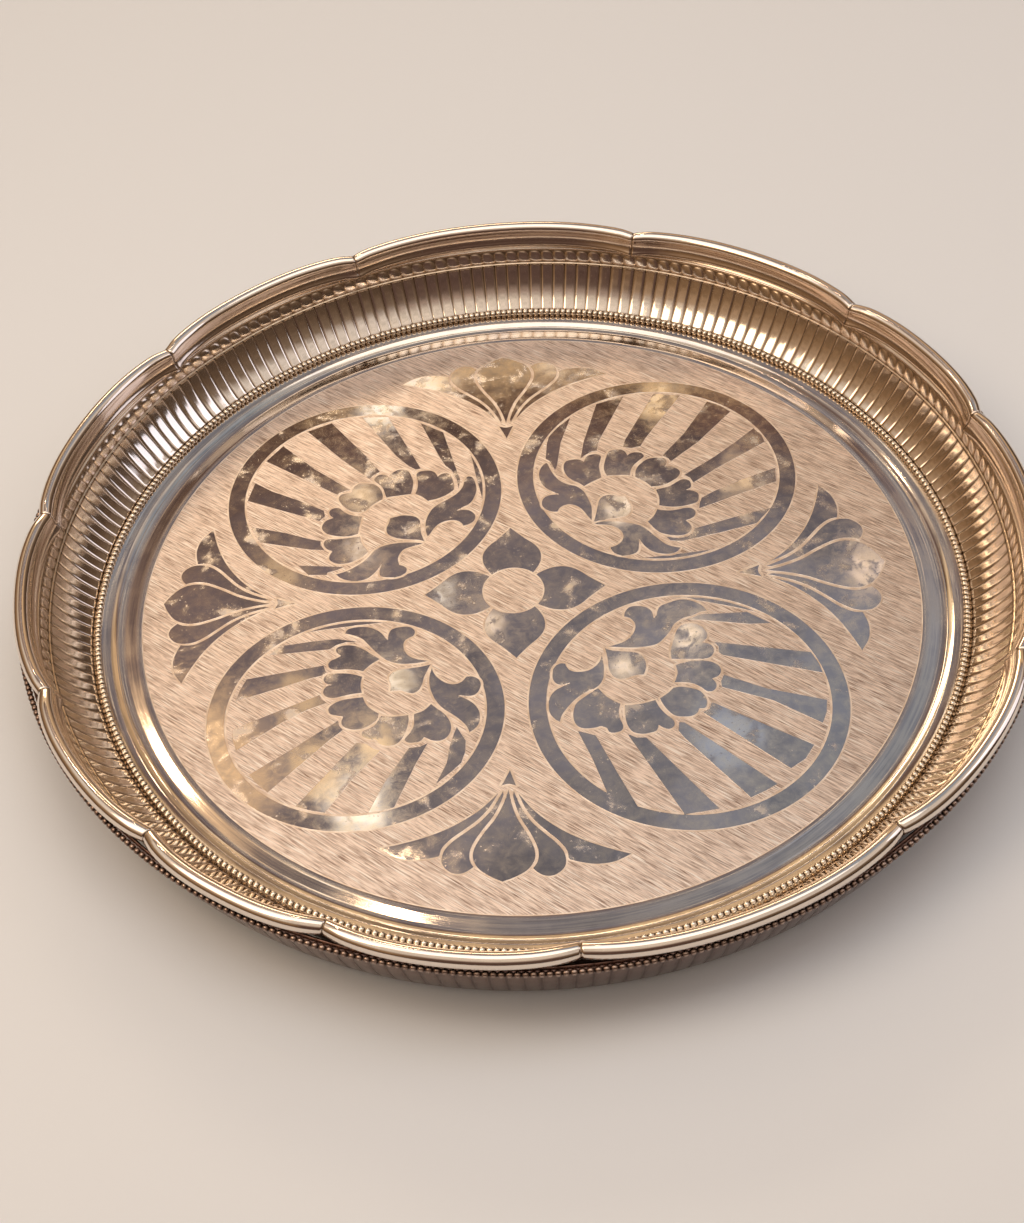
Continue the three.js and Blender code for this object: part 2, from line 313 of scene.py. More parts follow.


# Pressed silver plate darkened in its hollows by tarnish and by painted shade: bright crests, brown roots
def makePressedSilver(name, look):
    material, tree = newMaterial(name)
    place = addNode(tree, "ShaderNodeTexCoord")
    hollow = addNode(tree, "ShaderNodeAttribute", {"attribute_name": "hollow"})
    grime = addNode(tree, "ShaderNodeTexNoise", {
        "Scale": 1 / (look["patch"] * mm), "Detail": look["patchDetail"], "Roughness": 0.55,
    }, {"Vector": place.outputs["Object"]})
    depth = addNode(tree, "ShaderNodeMath", {"operation": "MULTIPLY_ADD", 1: look["unevenness"]}, {
        0: grime.outputs["Fac"], 2: hollow.outputs["Fac"]})
    colour = addNode(tree, "ShaderNodeValToRGB", {
        "ramp": [(0.15, look["crest"]), (0.6, look["flank"]), (1.0, look["root"])],
    }, {"Fac": depth.outputs[0]})
    rough = addNode(tree, "ShaderNodeMapRange", {
        "From Min": 0.2, "From Max": 1.1, "To Min": look["roughCrest"], "To Max": look["roughRoot"],
    }, {"Value": depth.outputs[0]})
    waves = addNode(tree, "ShaderNodeTexNoise", {
        "Scale": 1 / (look["waveLength"] * mm), "Detail": 2,
    }, {"Vector": place.outputs["Object"]})
    bump = addNode(tree, "ShaderNodeBump", {
        "Strength": 1, "Distance": look["waviness"] * mm,
    }, {"Height": waves.outputs["Fac"]})
    finishMaterial(tree, {"Metallic": 1}, {
        "Base Color": colour.outputs["Color"], "Roughness": rough.outputs["Result"],
        "Normal": bump.outputs["Normal"],
    })
    return material


wallLook = {
    "crest": "#F4EADF", "flank": "#CDB69C", "root": "#3E2D22", "roughCrest": 0.1,
    "roughRoot": 0.4, "patch": 5, "patchDetail": 2, "unevenness": 0.24, "waviness": 0.03, "waveLength": 9,
}
borderLook = {
    "crest": "#E8DBCE", "flank": "#D4C2B1", "root": "#8A7361", "roughCrest": 0.1,
    "roughRoot": 0.28, "patch": 9, "patchDetail": 3, "unevenness": 0.25, "waviness": 0.07, "waveLength": 9,
}
beadLook = {
    "crest": "#F4EADB", "flank": "#CDB89E", "root": "#33261E", "roughCrest": 0.14,
    "roughRoot": 0.45, "patch": 2, "patchDetail": 3, "unevenness": 0.3, "waviness": 0.01, "waveLength": 3,
}
# Outer beads, under the border's roll: darker than the inner ones, partly by tarnish and partly by painted
# shade under the roll
outerBeadLook = {
    "crest": "#B7A294", "flank": "#7D665B", "root": "#2A201B", "roughCrest": 0.2,
    "roughRoot": 0.5, "patch": 5, "patchDetail": 4, "unevenness": 0.6, "waviness": 0.01, "waveLength": 3,
}
# Gallery under the border: its dark crest and flank are partly tarnish and partly painted, as shade under the
# border and as a dark reflection
galleryLook = {
    "crest": "#8C7065", "flank": "#684F47", "root": "#3E302B", "roughCrest": 0.2,
    "roughRoot": 0.45, "patch": 4, "patchDetail": 5, "unevenness": 0.5, "waviness": 0.03, "waveLength": 6,
}


drawnWire = {
    "tones": [(0.35, "#77777A"), (0.7, "#9C9C9E")], "rough": 0.38, "lineWidth": 0.4, "lineDepth": 0.01,
    "lineStrength": 0.4,
}


# Bright-drawn steel wire: fine lines run along it from the die, a grey that never mirrors sharply
def makeDrawnSteel():
    material, tree = newMaterial("brightDrawnSteelWire")
    place = addNode(tree, "ShaderNodeTexCoord")
    lines = addNode(tree, "ShaderNodeTexNoise", {
        "Scale": 1 / (drawnWire["lineWidth"] * mm), "Detail": 3,
    }, {"Vector": place.outputs["Object"]})
    colour = addNode(tree, "ShaderNodeValToRGB", {"ramp": drawnWire["tones"]}, {"Fac": lines.outputs["Fac"]})
    bump = addNode(tree, "ShaderNodeBump", {
        "Strength": drawnWire["lineStrength"], "Distance": drawnWire["lineDepth"] * mm,
    }, {"Height": lines.outputs["Fac"]})
    finishMaterial(tree, {"Metallic": 1, "Roughness": drawnWire["rough"]}, {
        "Base Color": colour.outputs["Color"], "Normal": bump.outputs["Normal"],
    })
    return material


satinSilver = makeSatinSilver()
cutSilver = makeCutSilver()
mirrorSilver = makeMirrorSilver()
spunSilver = makeSpunSilver()
wallSilver = makePressedSilver("pressedAndPolishedSilverPlate", wallLook)
borderSilver = makePressedSilver("rolledBrightSilverPlate", borderLook)
beadSilver = makePressedSilver("burnishedBeadedSilverWire", beadLook)
outerBeadSilverWithPaintedShade = makePressedSilver("tarnishedBeadedSilverWireWithPaintedShade", outerBeadLook)
gallerySilver = makePressedSilver("tarnishedPressedSilverPlateWithPaintedShade", galleryLook)
drawnSteel = makeDrawnSteel()
print("materials made")


# Lobes of the border, as in the frame: twelve between cusps, with spans in degrees

lobes = {
    "firstCusp": 15, "spans": (25, 33, 39, 30, 32, 28, 24, 22, 25, 35, 28, 39),
    "depth": 2.4, "drop": 0.4, "sharpness": 3,
}


def cuspDraw(degree):
    degree = (degree - lobes["firstCusp"]) % 360
    for span in lobes["spans"]:
        if degree <= span:
            return abs(2 * degree / span - 1) ** lobes["sharpness"]
        degree -= span
    return 1.0


# A point at a radius, height and angle; share says how much of the cusps' draw it follows
def ringPoint(radius, height, degree, share=0.0):
    draw = cuspDraw(degree) * share if share else 0.0
    radius -= lobes["depth"] * draw
    height -= lobes["drop"] * draw
    angle = math.radians(degree)
    return (radius * math.cos(angle), radius * math.sin(angle), height)


# Floor ornament, traced in plan with the plate's axis at (0, 0)

flower = {"middle": (-4.9, -1.2), "discRadius": 9.4, "petalReach": (28.3, 27.1, 27.2, 27.5)}
medallion = {"ringWidth": 5.3, "crescentWidth": 1.7, "crescentGap": 0.1}
lineWidth = {"medallion": 0.58, "ground": 0.4, "petal": 0.8, "petalBlend": 3}

# Four medallions, each drawn by itself: no two have quite the same petals, leaves or rays.
# A point that ends in "tip" is a sharp one
medallions = (
    {"ring": (-51.2, 44.3), "radii": (44.0, 44.0), "crescent": (-8, 26),
     "petals": [
         [(-55.6, 45.9, "tip"), (-57.5, 45.6), (-59.2, 44.9), (-59.7, 43.1), (-58.8, 40.7),
          (-57.2, 38.6), (-55.1, 36.9), (-52.7, 36.4), (-51.1, 36.7, "tip"), (-48.5, 39.6),
          (-45.5, 41.9, "tip"), (-45.4, 43.8), (-46.2, 46.7), (-48, 49), (-50.6, 49.8), (-53.1, 49.8),
          (-54.7, 48.7), (-55.4, 47.3)],
         [(-43.5, 52.2, "tip"), (-44.8, 53.3), (-46.7, 53.5), (-48.1, 52.4), (-48.4, 51.2),
          (-47.5, 49.6), (-46.2, 48.1), (-45.3, 46.2), (-44.8, 44.1), (-44.3, 42.5, "tip"),
          (-41.7, 42.9), (-39.1, 43.2), (-36.3, 43.5, "tip"), (-35.8, 46.2), (-35.6, 49.4),
          (-36.2, 52), (-37.2, 54.4), (-38.8, 55.4), (-40.6, 55.4), (-42.2, 54.4), (-43.3, 53.1)],
         [(-27.7, 51.2, "tip"), (-28.5, 53.1), (-30.2, 54.3), (-32.5, 54.3), (-34.1, 53.8),
          (-34.7, 52.5), (-34.3, 49.4), (-34.4, 46.2), (-35.1, 43.5, "tip"), (-33, 42.1),
          (-30.9, 39.9, "tip"), (-28, 40.7), (-24.8, 42.3), (-22.4, 44.6, "tip"), (-22.5, 47.8),
          (-23.2, 50.7), (-24.1, 52.3), (-25.6, 52.6), (-26.9, 52.1)],
         [(-61.2, 34.6, "tip"), (-62.3, 35.9), (-62.5, 37.8), (-61.2, 39), (-59.3, 38.9), (-58, 37.5),
          (-56.2, 35.9), (-54.3, 35.1), (-51.9, 34.6, "tip"), (-52.5, 30.7), (-53, 26.6, "tip"),
          (-55.4, 25.9), (-58.5, 25.9), (-61.2, 26.6), (-63.3, 27.8), (-64.6, 29.9), (-64.4, 32),
          (-63.3, 33.6)],
         [(-61, 19.6, "tip"), (-62.7, 20.7), (-63.8, 22.8), (-63.5, 24.4), (-62.2, 25.1), (-59.6, 25),
          (-56.4, 25.2), (-52.4, 25.7, "tip"), (-51.6, 22.5), (-49.5, 18.6, "tip"), (-51.2, 16.7),
          (-53.3, 15.2), (-55.6, 14.1), (-58, 13.8), (-60.1, 14.4), (-61.7, 15.9), (-61.8, 17.8)],
     ],
     "leaves": [
         [(-31.1, 23.8, "tip"), (-31.7, 26.7), (-31.7, 30.4), (-30.9, 33.6), (-29.3, 36.7),
          (-26.9, 38.8), (-23.8, 40.9), (-21.4, 43.1), (-19.8, 45.7), (-19.1, 48.8), (-18.3, 50.2),
          (-17.4, 50.5), (-16.2, 49.6), (-15.4, 46.7), (-15.2, 43.6), (-16.2, 39.9), (-17.7, 37.5),
          (-19.8, 36.2), (-21.7, 34.9, "tip"), (-19.6, 35.2), (-17.5, 34.6), (-15.9, 32.5),
          (-16.2, 29.9), (-18, 28.3), (-19.8, 27.8, "tip"), (-20.4, 29.1), (-22.2, 30.4),
          (-24.8, 30.4), (-27.5, 29.1), (-29.3, 26.7), (-30.4, 24.6)],
         [(-32.2, 21.1, "tip"), (-35.4, 21.7), (-39.1, 21.9), (-42.7, 21.5), (-45.4, 20.7),
          (-47.7, 19.1), (-49.3, 16.7), (-51.2, 14.4), (-53.8, 12.3), (-56.4, 10.7),
          (-59.6, 9.6, "tip"), (-58, 7.8), (-55.4, 6.5), (-52.2, 6.2), (-49.6, 7), (-47.5, 9.1),
          (-45.9, 11.7), (-45.4, 12.8, "tip"), (-46, 9.9), (-45.6, 7.8), (-43.8, 7), (-40.6, 7),
          (-38, 8.3), (-37.4, 10.2), (-38.3, 11.5), (-39.8, 12.3, "tip"), (-40.2, 14.6), (-39.8, 16.5),
          (-38.5, 18.6), (-36.4, 19.6), (-33.8, 20.4)],
     ],
     "bud": [(-31.9, 21.7, "tip"), (-33, 25.7), (-33.3, 29.4), (-33.5, 31.5), (-34.8, 33.1),
             (-36.7, 33.8), (-39.3, 34.1), (-41.2, 33.6), (-43, 33.1, "tip"), (-43.4, 30.9),
             (-44.1, 28.7), (-43.8, 26.2), (-42.2, 24.6), (-40.1, 23.6), (-36.4, 22.9), (-33.8, 22.5)],
     "rays": [
         [(-33.4, 77.7), (-25.7, 72.5), (-22.9, 60), (-20.4, 49.1), (-21, 45), (-21.6, 49),
          (-23.3, 53.8), (-25.3, 56.2), (-27, 60)],
         [(-53, 82.1), (-44.2, 81.7), (-35.8, 62), (-33.2, 55.4), (-34.8, 54.9), (-37.2, 56.7),
          (-41.4, 62)],
         [(-71.2, 76.5), (-63.2, 80.2), (-50.6, 62), (-46.5, 54.9), (-48.9, 53.2), (-49.8, 51.6),
          (-59.6, 62)],
         [(-84.3, 62.9), (-79, 70), (-68, 58), (-56, 47.1), (-57.6, 46.7), (-59.4, 45.9), (-60.2, 45),
          (-68, 50.8)],
         [(-87.2, 52.8), (-81.3, 48.4), (-73, 43.8), (-64.2, 38.2), (-63.7, 35.5), (-65.5, 33.4),
          (-78, 39.2), (-89.2, 44.5)],
         [(-87.3, 32.5), (-76, 29), (-68, 25.6), (-64.7, 24.6), (-64.6, 22.7), (-63.3, 20.3),
          (-68, 20.8), (-84, 25.2)],
         [(-71.5, 14.3), (-64, 13.5), (-56.9, 12.6), (-59.2, 11.3), (-62, 10.4), (-62.3, 9.4),
          (-68, 9.8)],
     ]},
    {"ring": (42.7, 47.5), "radii": (44.8, 44.8), "crescent": (-103, -66),
     "petals": [
         [(19.9, 54.6, "tip"), (18.2, 55.7), (16.1, 55.8), (14.1, 55.1), (13.2, 53.2), (13.2, 50.6),
          (14.1, 47.9), (15.8, 45.8), (17.6, 44.5), (19.3, 42.8, "tip"), (21.8, 44.5),
          (25.2, 46.4, "tip"), (25, 48.7), (24.8, 51.9), (25.5, 55.1), (25.7, 56.6), (24.7, 57.6),
          (22.9, 57.8), (21.2, 57.1), (20.3, 55.8)],
         [(34.2, 56.4, "tip"), (33.7, 58.2), (32.4, 59.4), (30.3, 59.5), (28.7, 59), (27.7, 57.7),
          (27.2, 56.1), (26.6, 54), (26.1, 51.4), (26.3, 48.7), (26.9, 47.1, "tip"), (30.8, 47.1),
          (34.5, 46.7, "tip"), (34.8, 48.7), (35.8, 51.1), (37.6, 53.2), (39.5, 55.1), (39.6, 56.1),
          (38.7, 57.3), (36.8, 57.7), (35.3, 57.3)],
         [(45.9, 50.2, "tip"), (46.6, 51.4), (46.8, 52.7), (46.1, 54), (44.2, 54.5), (42.1, 54.5),
          (40.3, 54), (38.7, 52.7), (37.1, 50.8), (36.2, 48.7), (35.9, 45.8, "tip"), (38.5, 43.7),
          (40.8, 40.9, "tip"), (43.2, 41.1), (45.3, 41.6), (47.4, 42.9), (49.5, 44.5), (50.6, 46.6),
          (50.3, 48.2), (48.9, 49.5), (47.6, 50.2)],
         [(51.8, 38.7, "tip"), (53.2, 39.5), (53.6, 40.8), (53.2, 42.9), (51.8, 43.7), (50.3, 43.5),
          (48.4, 42.2), (46.3, 40.8), (43.9, 40.1), (42, 39.5, "tip"), (42.7, 35.8),
          (42.4, 32.2, "tip"), (44.7, 31.5), (47.4, 31.1), (50, 31.3), (52.6, 31.9), (54.7, 32.9),
          (55.5, 35.1), (55.3, 36.9), (53.9, 38.2)],
         [(50.3, 24.9, "tip"), (52.1, 25.6), (53.4, 26.9), (53.7, 28.7), (52.6, 30.3), (50.5, 30.6),
          (48.4, 30.1), (45.8, 29.8), (43.2, 30.2), (41.7, 30.7, "tip"), (40.3, 27.7),
          (38.2, 25.3, "tip"), (39.2, 23.5), (40.5, 21.4), (42.1, 19.8), (44.7, 18.7), (47.4, 18.3),
          (49.7, 18.7), (51.3, 20.1), (51.8, 21.9), (51.3, 23.5)],
     ],
     "leaves": [
         [(20.8, 26.9, "tip"), (21.1, 30.3), (21.2, 33.5), (20.5, 36.6), (19.5, 39.8), (18.4, 41.6),
          (16.8, 43.2), (14.2, 44.3), (11.8, 46.1), (10, 49), (8.9, 51.9), (8.2, 54.3), (7.6, 54.8),
          (6.3, 53.5), (5.3, 51.4), (5, 48.7), (5.5, 45.8), (6.8, 43.2), (8.7, 41.4),
          (11.1, 39.8, "tip"), (8.7, 39.8), (6.6, 39), (5.5, 37.2), (5.5, 34.8), (6.8, 32.9),
          (8.7, 31.9), (10.3, 31.8, "tip"), (11.3, 33.7), (13.7, 34.8), (16.3, 34), (18.2, 31.9),
          (19.5, 29.3)],
         [(21.1, 25.7, "tip"), (23.7, 26.4), (27.4, 26.5), (30.5, 25.8), (33.7, 24.8), (36.3, 23.5),
          (38.4, 21.1), (40.5, 18.2), (42.6, 15.6), (44.7, 14.1), (47.6, 13.1, "tip"), (46.3, 11.4),
          (44.2, 10.6), (41.1, 10.9), (38.4, 12.2), (36.6, 14.3), (35.5, 16.4), (35, 17.7, "tip"),
          (34.8, 15.1), (34.2, 12.4), (32.1, 11.1), (29.5, 10.9), (27.1, 11.9), (25.9, 14),
          (25.8, 14.9, "tip"), (27.9, 15.8), (29.5, 17.4), (30.1, 19.5), (29.5, 21.9), (27.4, 23.9),
          (24.7, 24.8), (22.6, 25.1)],
     ],
     "bud": [(21.3, 26.4, "tip"), (22.5, 31.1), (23.2, 34.5), (24.1, 36.9), (25.8, 38.2),
             (27.9, 38.2), (30.3, 37.4), (32.2, 37.3, "tip"), (33.1, 34.8), (33.6, 32.2), (33.3, 30.1),
             (31.9, 28.4), (29.5, 27.8), (26.3, 27.4)],
     "rays": [
         [(16.7, 76.2), (12.9, 64), (11.3, 53.5), (10.4, 51), (8.9, 55.3), (7.5, 56.8), (8.2, 64),
          (9, 67.3), (12.5, 72.2)],
         [(35.2, 85.6), (25.5, 64), (24.5, 59.2), (22.6, 58.9), (20.3, 57.2), (18.8, 55.7),
          (20.3, 64), (25.7, 82.5)],
         [(54.2, 84.5), (40.8, 64), (38.9, 60.3), (35.8, 59.6), (33, 60.3), (34, 64), (45.2, 86.1)],
         [(62.8, 80.8), (53.5, 65.5), (45.4, 55.2), (47.3, 53.8), (48, 52.2), (58, 61), (70.1, 75),
          (66.9, 78.3)],
         [(76.6, 66.2), (70.3, 60.4), (62, 53.3), (51.6, 45.6), (53.4, 44.1), (54.2, 41.7),
          (62, 47.5), (79.5, 59.2), (78.9, 62.5)],
         [(81.3, 46.7), (70.3, 42.4), (60.3, 37.4), (55.8, 34.6), (55.2, 32.2), (54.9, 29.9),
          (60.3, 32), (70.3, 36.2), (80.7, 40.2)],
         [(77.6, 28.6), (70.3, 26.8), (60.3, 23.6), (52.6, 21.2), (51.7, 19.2), (50, 17.8),
          (47.4, 17.3), (43.4, 18.2), (44.6, 16.3), (48, 15.8), (60.3, 18.6), (72, 21.8)],
     ]},
    {"ring": (-51.9, -46.4), "radii": (43.1, 41.6), "crescent": (76, 116),
     "petals": [
         [(-56.9, -24.1, "tip"), (-58.1, -22.9), (-58.4, -21.3), (-57.4, -20.3), (-55.5, -19.9),
          (-52.8, -20.3), (-50.2, -21.8), (-47.8, -23.9), (-45.1, -26.2, "tip"), (-47.8, -28.2),
          (-50.1, -30.7, "tip"), (-52.3, -30), (-55.5, -29.6), (-58.1, -29.6), (-59.9, -28.9),
          (-60.6, -27.4), (-59.9, -25.8), (-58.4, -25)],
         [(-59.2, -35.2, "tip"), (-61, -34.5), (-61.7, -32.9), (-61, -31.3), (-58.6, -30.8),
          (-55.5, -30.9), (-52.8, -31.5), (-50.2, -32.6, "tip"), (-50.6, -35.8), (-50.2, -38.9, "tip"),
          (-52.8, -39.2), (-55.5, -39.7), (-58.1, -40.3), (-60.2, -40), (-61.5, -38.7), (-61.5, -36.8),
          (-60.5, -35.5)],
         [(-55.5, -47.5, "tip"), (-57.3, -47), (-59.2, -46.3), (-59.9, -44.7), (-59.4, -43.2),
          (-57.3, -41.6), (-54.4, -40.8), (-49.9, -40.4, "tip"), (-48.4, -43.9), (-45.1, -47, "tip"),
          (-45.7, -49.2), (-47.6, -51.1), (-50.2, -52.4), (-52.8, -52.4), (-55.2, -51.3), (-56, -49.5)],
         [(-44.5, -47.8, "tip"), (-40.7, -48.3), (-36.6, -48, "tip"), (-36.5, -50.5), (-37.3, -54.2),
          (-38.6, -57.1), (-40.2, -58.7), (-42.3, -59.1), (-44.7, -58.3), (-45.9, -56.6, "tip"),
          (-47.8, -56.4), (-49.6, -55.3), (-49.9, -53.4), (-48.4, -52.4), (-46.3, -51.1)],
         [(-35.1, -47.8, "tip"), (-32.3, -46.6), (-30.1, -44.3, "tip"), (-28.4, -46.1),
          (-26.3, -48.2), (-24.7, -51.1), (-24.3, -53.7), (-25.2, -56.6), (-27.3, -58.1), (-29.7, -58),
          (-31.3, -57.1), (-32.1, -56.6, "tip"), (-33.1, -57.9), (-34.9, -58.4), (-36.8, -58.2),
          (-37.7, -57), (-36.3, -54.7), (-35.2, -52.1)],
     ],
     "leaves": [
         [(-30.3, -27.9, "tip"), (-33.4, -28.5), (-37.1, -28.7), (-39.7, -28.4), (-42.3, -27.4),
          (-44.4, -25.8), (-46.5, -23.4), (-48.1, -21.3), (-49.4, -19.5), (-50.7, -17.9),
          (-53.4, -16.3), (-56, -15.3, "tip"), (-55.2, -13.7), (-52.8, -12.9), (-49.7, -12.9),
          (-47.1, -13.9), (-44.9, -15.8), (-43.4, -18.2), (-43, -18.7, "tip"), (-42.8, -16.3),
          (-41.8, -14.5), (-39.2, -13.7), (-36.5, -13.9), (-34.9, -15.5), (-35.2, -17.6),
          (-36.5, -18.4, "tip"), (-37.8, -19.5), (-38.2, -21.3), (-37.8, -23.4), (-36.5, -25.5),
          (-34.4, -26.8), (-32.3, -27.4)],
         [(-29.8, -30.3, "tip"), (-29.4, -32.1), (-28.1, -34.5), (-25.7, -36.6), (-23.4, -37.3),
          (-21.3, -36.6), (-20.2, -35.3), (-19.7, -34.7, "tip"), (-18.1, -34.7), (-16.3, -35.8),
          (-15.5, -37.9), (-16.3, -40.8), (-17.8, -42.1), (-19.9, -42.2), (-22.1, -41.8, "tip"),
          (-20.2, -42.9), (-17.8, -45), (-16.3, -47.6), (-16, -50.3), (-16.5, -52.9), (-17.8, -54.7),
          (-19.2, -55.8, "tip"), (-19.9, -53.7), (-21.3, -51.6), (-23.9, -48.9), (-26.5, -46.6),
          (-28.6, -43.7), (-29.9, -40.5), (-30.6, -37.4), (-30.6, -33.7)],
     ],
     "bud": [(-30.1, -29.2, "tip"), (-33.1, -29.9), (-36.5, -30.3), (-39.4, -30.6), (-41.5, -31.7),
             (-42.5, -33.7), (-41.9, -36.3), (-42, -38.8, "tip"), (-39.2, -38.8), (-37.3, -39.6),
             (-35.5, -40.1), (-33.8, -39.2), (-32.7, -37.1), (-31.9, -33.7)],
     "rays": [
         [(-75.5, -18.9), (-66, -17.7), (-58, -17.2), (-50.7, -19.2), (-55.3, -18.8), (-58.3, -19.8),
          (-60.2, -21.4), (-78.2, -22.3)],
         [(-84.4, -31.2), (-66, -28.1), (-61.8, -27.4), (-61.2, -29.4), (-60.2, -31), (-66, -32.5),
          (-73, -35), (-87.1, -39.5), (-86, -35)],
         [(-87.2, -49.8), (-66, -40.2), (-62.6, -38.7), (-61.8, -40.4), (-60.2, -41.9), (-66, -44.3),
          (-73, -48.5), (-85.6, -57.8), (-86.9, -54)],
         [(-81.4, -66.6), (-70, -58.5), (-63.6, -53.6), (-56.9, -48.8), (-56.4, -50.6),
          (-55.2, -52.3), (-59.2, -56), (-75.7, -73.3), (-78.8, -70.2)],
         [(-67.8, -78.6), (-51.4, -57.2), (-48.6, -57.6), (-46.4, -59.6), (-44.4, -60.5), (-52, -70),
          (-59.5, -81.3), (-63.8, -80.2)],
         [(-36.4, -60), (-33.4, -59.8), (-31, -58.7), (-34.4, -66), (-40.3, -80.7), (-44.2, -81.7),
          (-47.6, -82), (-43, -71.3)],
         [(-22.8, -53.4), (-21.5, -55.8), (-20.2, -58.5), (-20.4, -62.6), (-21.6, -66.5),
          (-24.2, -69.2), (-28.8, -73.3), (-25.8, -66), (-25, -60.5), (-23.7, -55.8)],
     ]},
    {"ring": (43.9, -47.7), "radii": (46.0, 46.0), "crescent": (52, 92),
     "petals": [
         [(50, -26.3, "tip"), (51.8, -26.8), (53.2, -28.6), (52.9, -31), (51.3, -32.6), (48.4, -32.8),
          (44.7, -32.6), (40.4, -32.3, "tip"), (40.4, -29.2), (41.3, -25.7), (42.4, -22.3),
          (43.7, -19.8), (45.8, -18.6), (48.4, -18.6), (50.5, -19.9), (51.8, -22.3), (51.8, -24.4),
          (50.8, -25.7)],
         [(51.6, -40.5, "tip"), (53.4, -39.7), (54.5, -37.6), (53.9, -35.5), (51.8, -33.9),
          (48.9, -33.3), (45.8, -33.3), (43.2, -33.9), (41.3, -34.5, "tip"), (41.6, -37.6),
          (40.4, -41.2, "tip"), (43.2, -41.4), (45.8, -42.1), (47.9, -43.6), (49.5, -45.2),
          (51.3, -45.2), (52.5, -43.6), (52.4, -41.8)],
         [(46.6, -51.5, "tip"), (48.4, -51.3), (49.2, -49.4), (48.9, -47.1), (47.4, -44.7),
          (44.7, -43.4), (42.1, -42.8), (39.9, -43.1, "tip"), (38.4, -44.7), (35.7, -46.8, "tip"),
          (36.3, -48.9), (37.6, -51.5), (39.5, -53.6), (42.1, -54.2), (44.7, -53.9), (46.1, -52.8)],
         [(34.5, -47.3, "tip"), (35.5, -50.2), (37.1, -52.8), (38.9, -54.9), (39.1, -57.1),
          (37.6, -58.3), (35.8, -57.8), (34.6, -56.7, "tip"), (33.9, -58.6), (31.8, -59.4),
          (29.5, -59.6), (27.1, -58.7), (25.8, -56.5), (25.3, -53.4), (25.3, -50.7),
          (25.5, -48.7, "tip"), (30, -48.4)],
         [(18.4, -41.8, "tip"), (20.8, -45.2), (24.4, -48.1, "tip"), (23.8, -50.7), (23.9, -53.4),
          (24.6, -56), (24.2, -57.8), (22.4, -58.6), (20.5, -58.4), (19.7, -56.8), (18.2, -56, "tip"),
          (16.3, -56.5), (13.2, -56.5), (11.3, -55.2), (10.5, -52.3), (10.8, -49.2), (11.8, -46.8),
          (14.2, -44.7), (16.6, -42.9)],
     ],
     "leaves": [
         [(21.8, -26.1, "tip"), (25.3, -26.6), (29.5, -27.1), (33.7, -26.9), (36.8, -26.1),
          (38.9, -24.2), (41.1, -21.3), (42.6, -18.6), (45.3, -16.5), (48.4, -15.5), (50.5, -14.4),
          (52.9, -13.9, "tip"), (51.8, -11.9), (50, -10.2), (47.4, -8.9), (44.7, -8.7), (41.6, -9.7),
          (38.9, -11), (37.9, -12.8), (37.4, -14.7), (36.7, -15.7, "tip"), (36.3, -12.8), (34.7, -11),
          (32.1, -10.3), (29.7, -10.7), (28.2, -12.6), (27.8, -14.5, "tip"), (29.7, -15.5),
          (30.8, -17.6), (30.5, -20.2), (28.9, -22.8), (26.8, -24.5), (23.9, -25.5)],
         [(20.3, -28.6, "tip"), (19.5, -31.3), (17.9, -33.4), (15.8, -34.8), (12.6, -35.1),
          (10.5, -34.2), (9.6, -32.6), (9.4, -31.7, "tip"), (7.9, -31.5), (6.1, -32.8), (5.3, -35.5),
          (5.5, -38.1), (6.8, -39.7), (8.7, -39.7), (10.3, -39.3, "tip"), (7.9, -40.5), (5.8, -41.8),
          (4.2, -44.2), (3.7, -47.1), (3.9, -50.2), (5.3, -52.6), (6.7, -53.8, "tip"), (7.4, -51.3),
          (8.9, -48.9), (10.8, -46.5), (12.6, -44.7), (15.3, -42.8), (18.2, -41.3), (19.5, -39.7),
          (20.3, -37.6), (20.6, -33.4)],
     ],
     "bud": [(21.3, -26.5, "tip"), (23.2, -27.5), (26.3, -28.1), (29.5, -28.6), (31.6, -29.7),
             (32.7, -31.8), (32.9, -34.7), (32, -37.7, "tip"), (29.5, -37.8), (26.8, -38.7),
             (24.7, -38.9), (22.9, -37.6), (21.9, -34.9), (21.7, -30.7)],
     "rays": [
         [(45.4, -16.9), (50.8, -15.1), (64.6, -15.1), (71.2, -20.2), (64.6, -20.2), (56.9, -18.7),
          (50, -17.5)],
         [(53.5, -26.4), (81.3, -32.3), (83, -36.8), (83.6, -40.6), (55.4, -31.8), (54.3, -30.5),
          (54.5, -28.5)],
         [(55, -39.2), (66.9, -45.2), (83.3, -50.6), (82.6, -55), (80.8, -59.1), (67.7, -49.8),
          (53.8, -43.9), (53.8, -41.5)],
         [(50.4, -49.1), (77.3, -66.6), (74.2, -71.4), (69.6, -74.5), (47.4, -52.8), (49.4, -51.6)],
         [(41.9, -56), (65.4, -79.5), (61.5, -81.8), (57.4, -83.7), (41.2, -61.6), (39.8, -59),
          (40.4, -55.9)],
         [(25.4, -59.1), (38.8, -88.1), (43.8, -87.6), (48.6, -86.8), (30.8, -60.8), (28, -60.6)],
         [(11.5, -57.2), (15, -67.5), (18.5, -80.2), (21.5, -83.5), (27.3, -86.7), (21.9, -72.9),
          (16.6, -59.1), (14, -58)],
     ]},
)
palmettes = (
    {"tip": (-71.4, -1.9), "turn": 176, "petal": (0.97, 0.88), "drops": (0.97, 0.9), "leaves": (1.04, 0.97)},
    {"tip": (64.0, 1.2), "turn": 2, "petal": (1.07, 1.07), "drops": (1.07, 1.07), "leaves": (1.07, 1.07)},
    {"tip": (-8.1, -69.7), "turn": -95, "petal": (0.89, 0.9), "drops": (0.92, 0.92), "leaves": (0.95, 1.04)},
    {"tip": (-4.8, 67.5), "turn": 90, "petal": (1.0, 1.0), "drops": (1.0, 1.0), "leaves": (1.05, 1.06)},
)

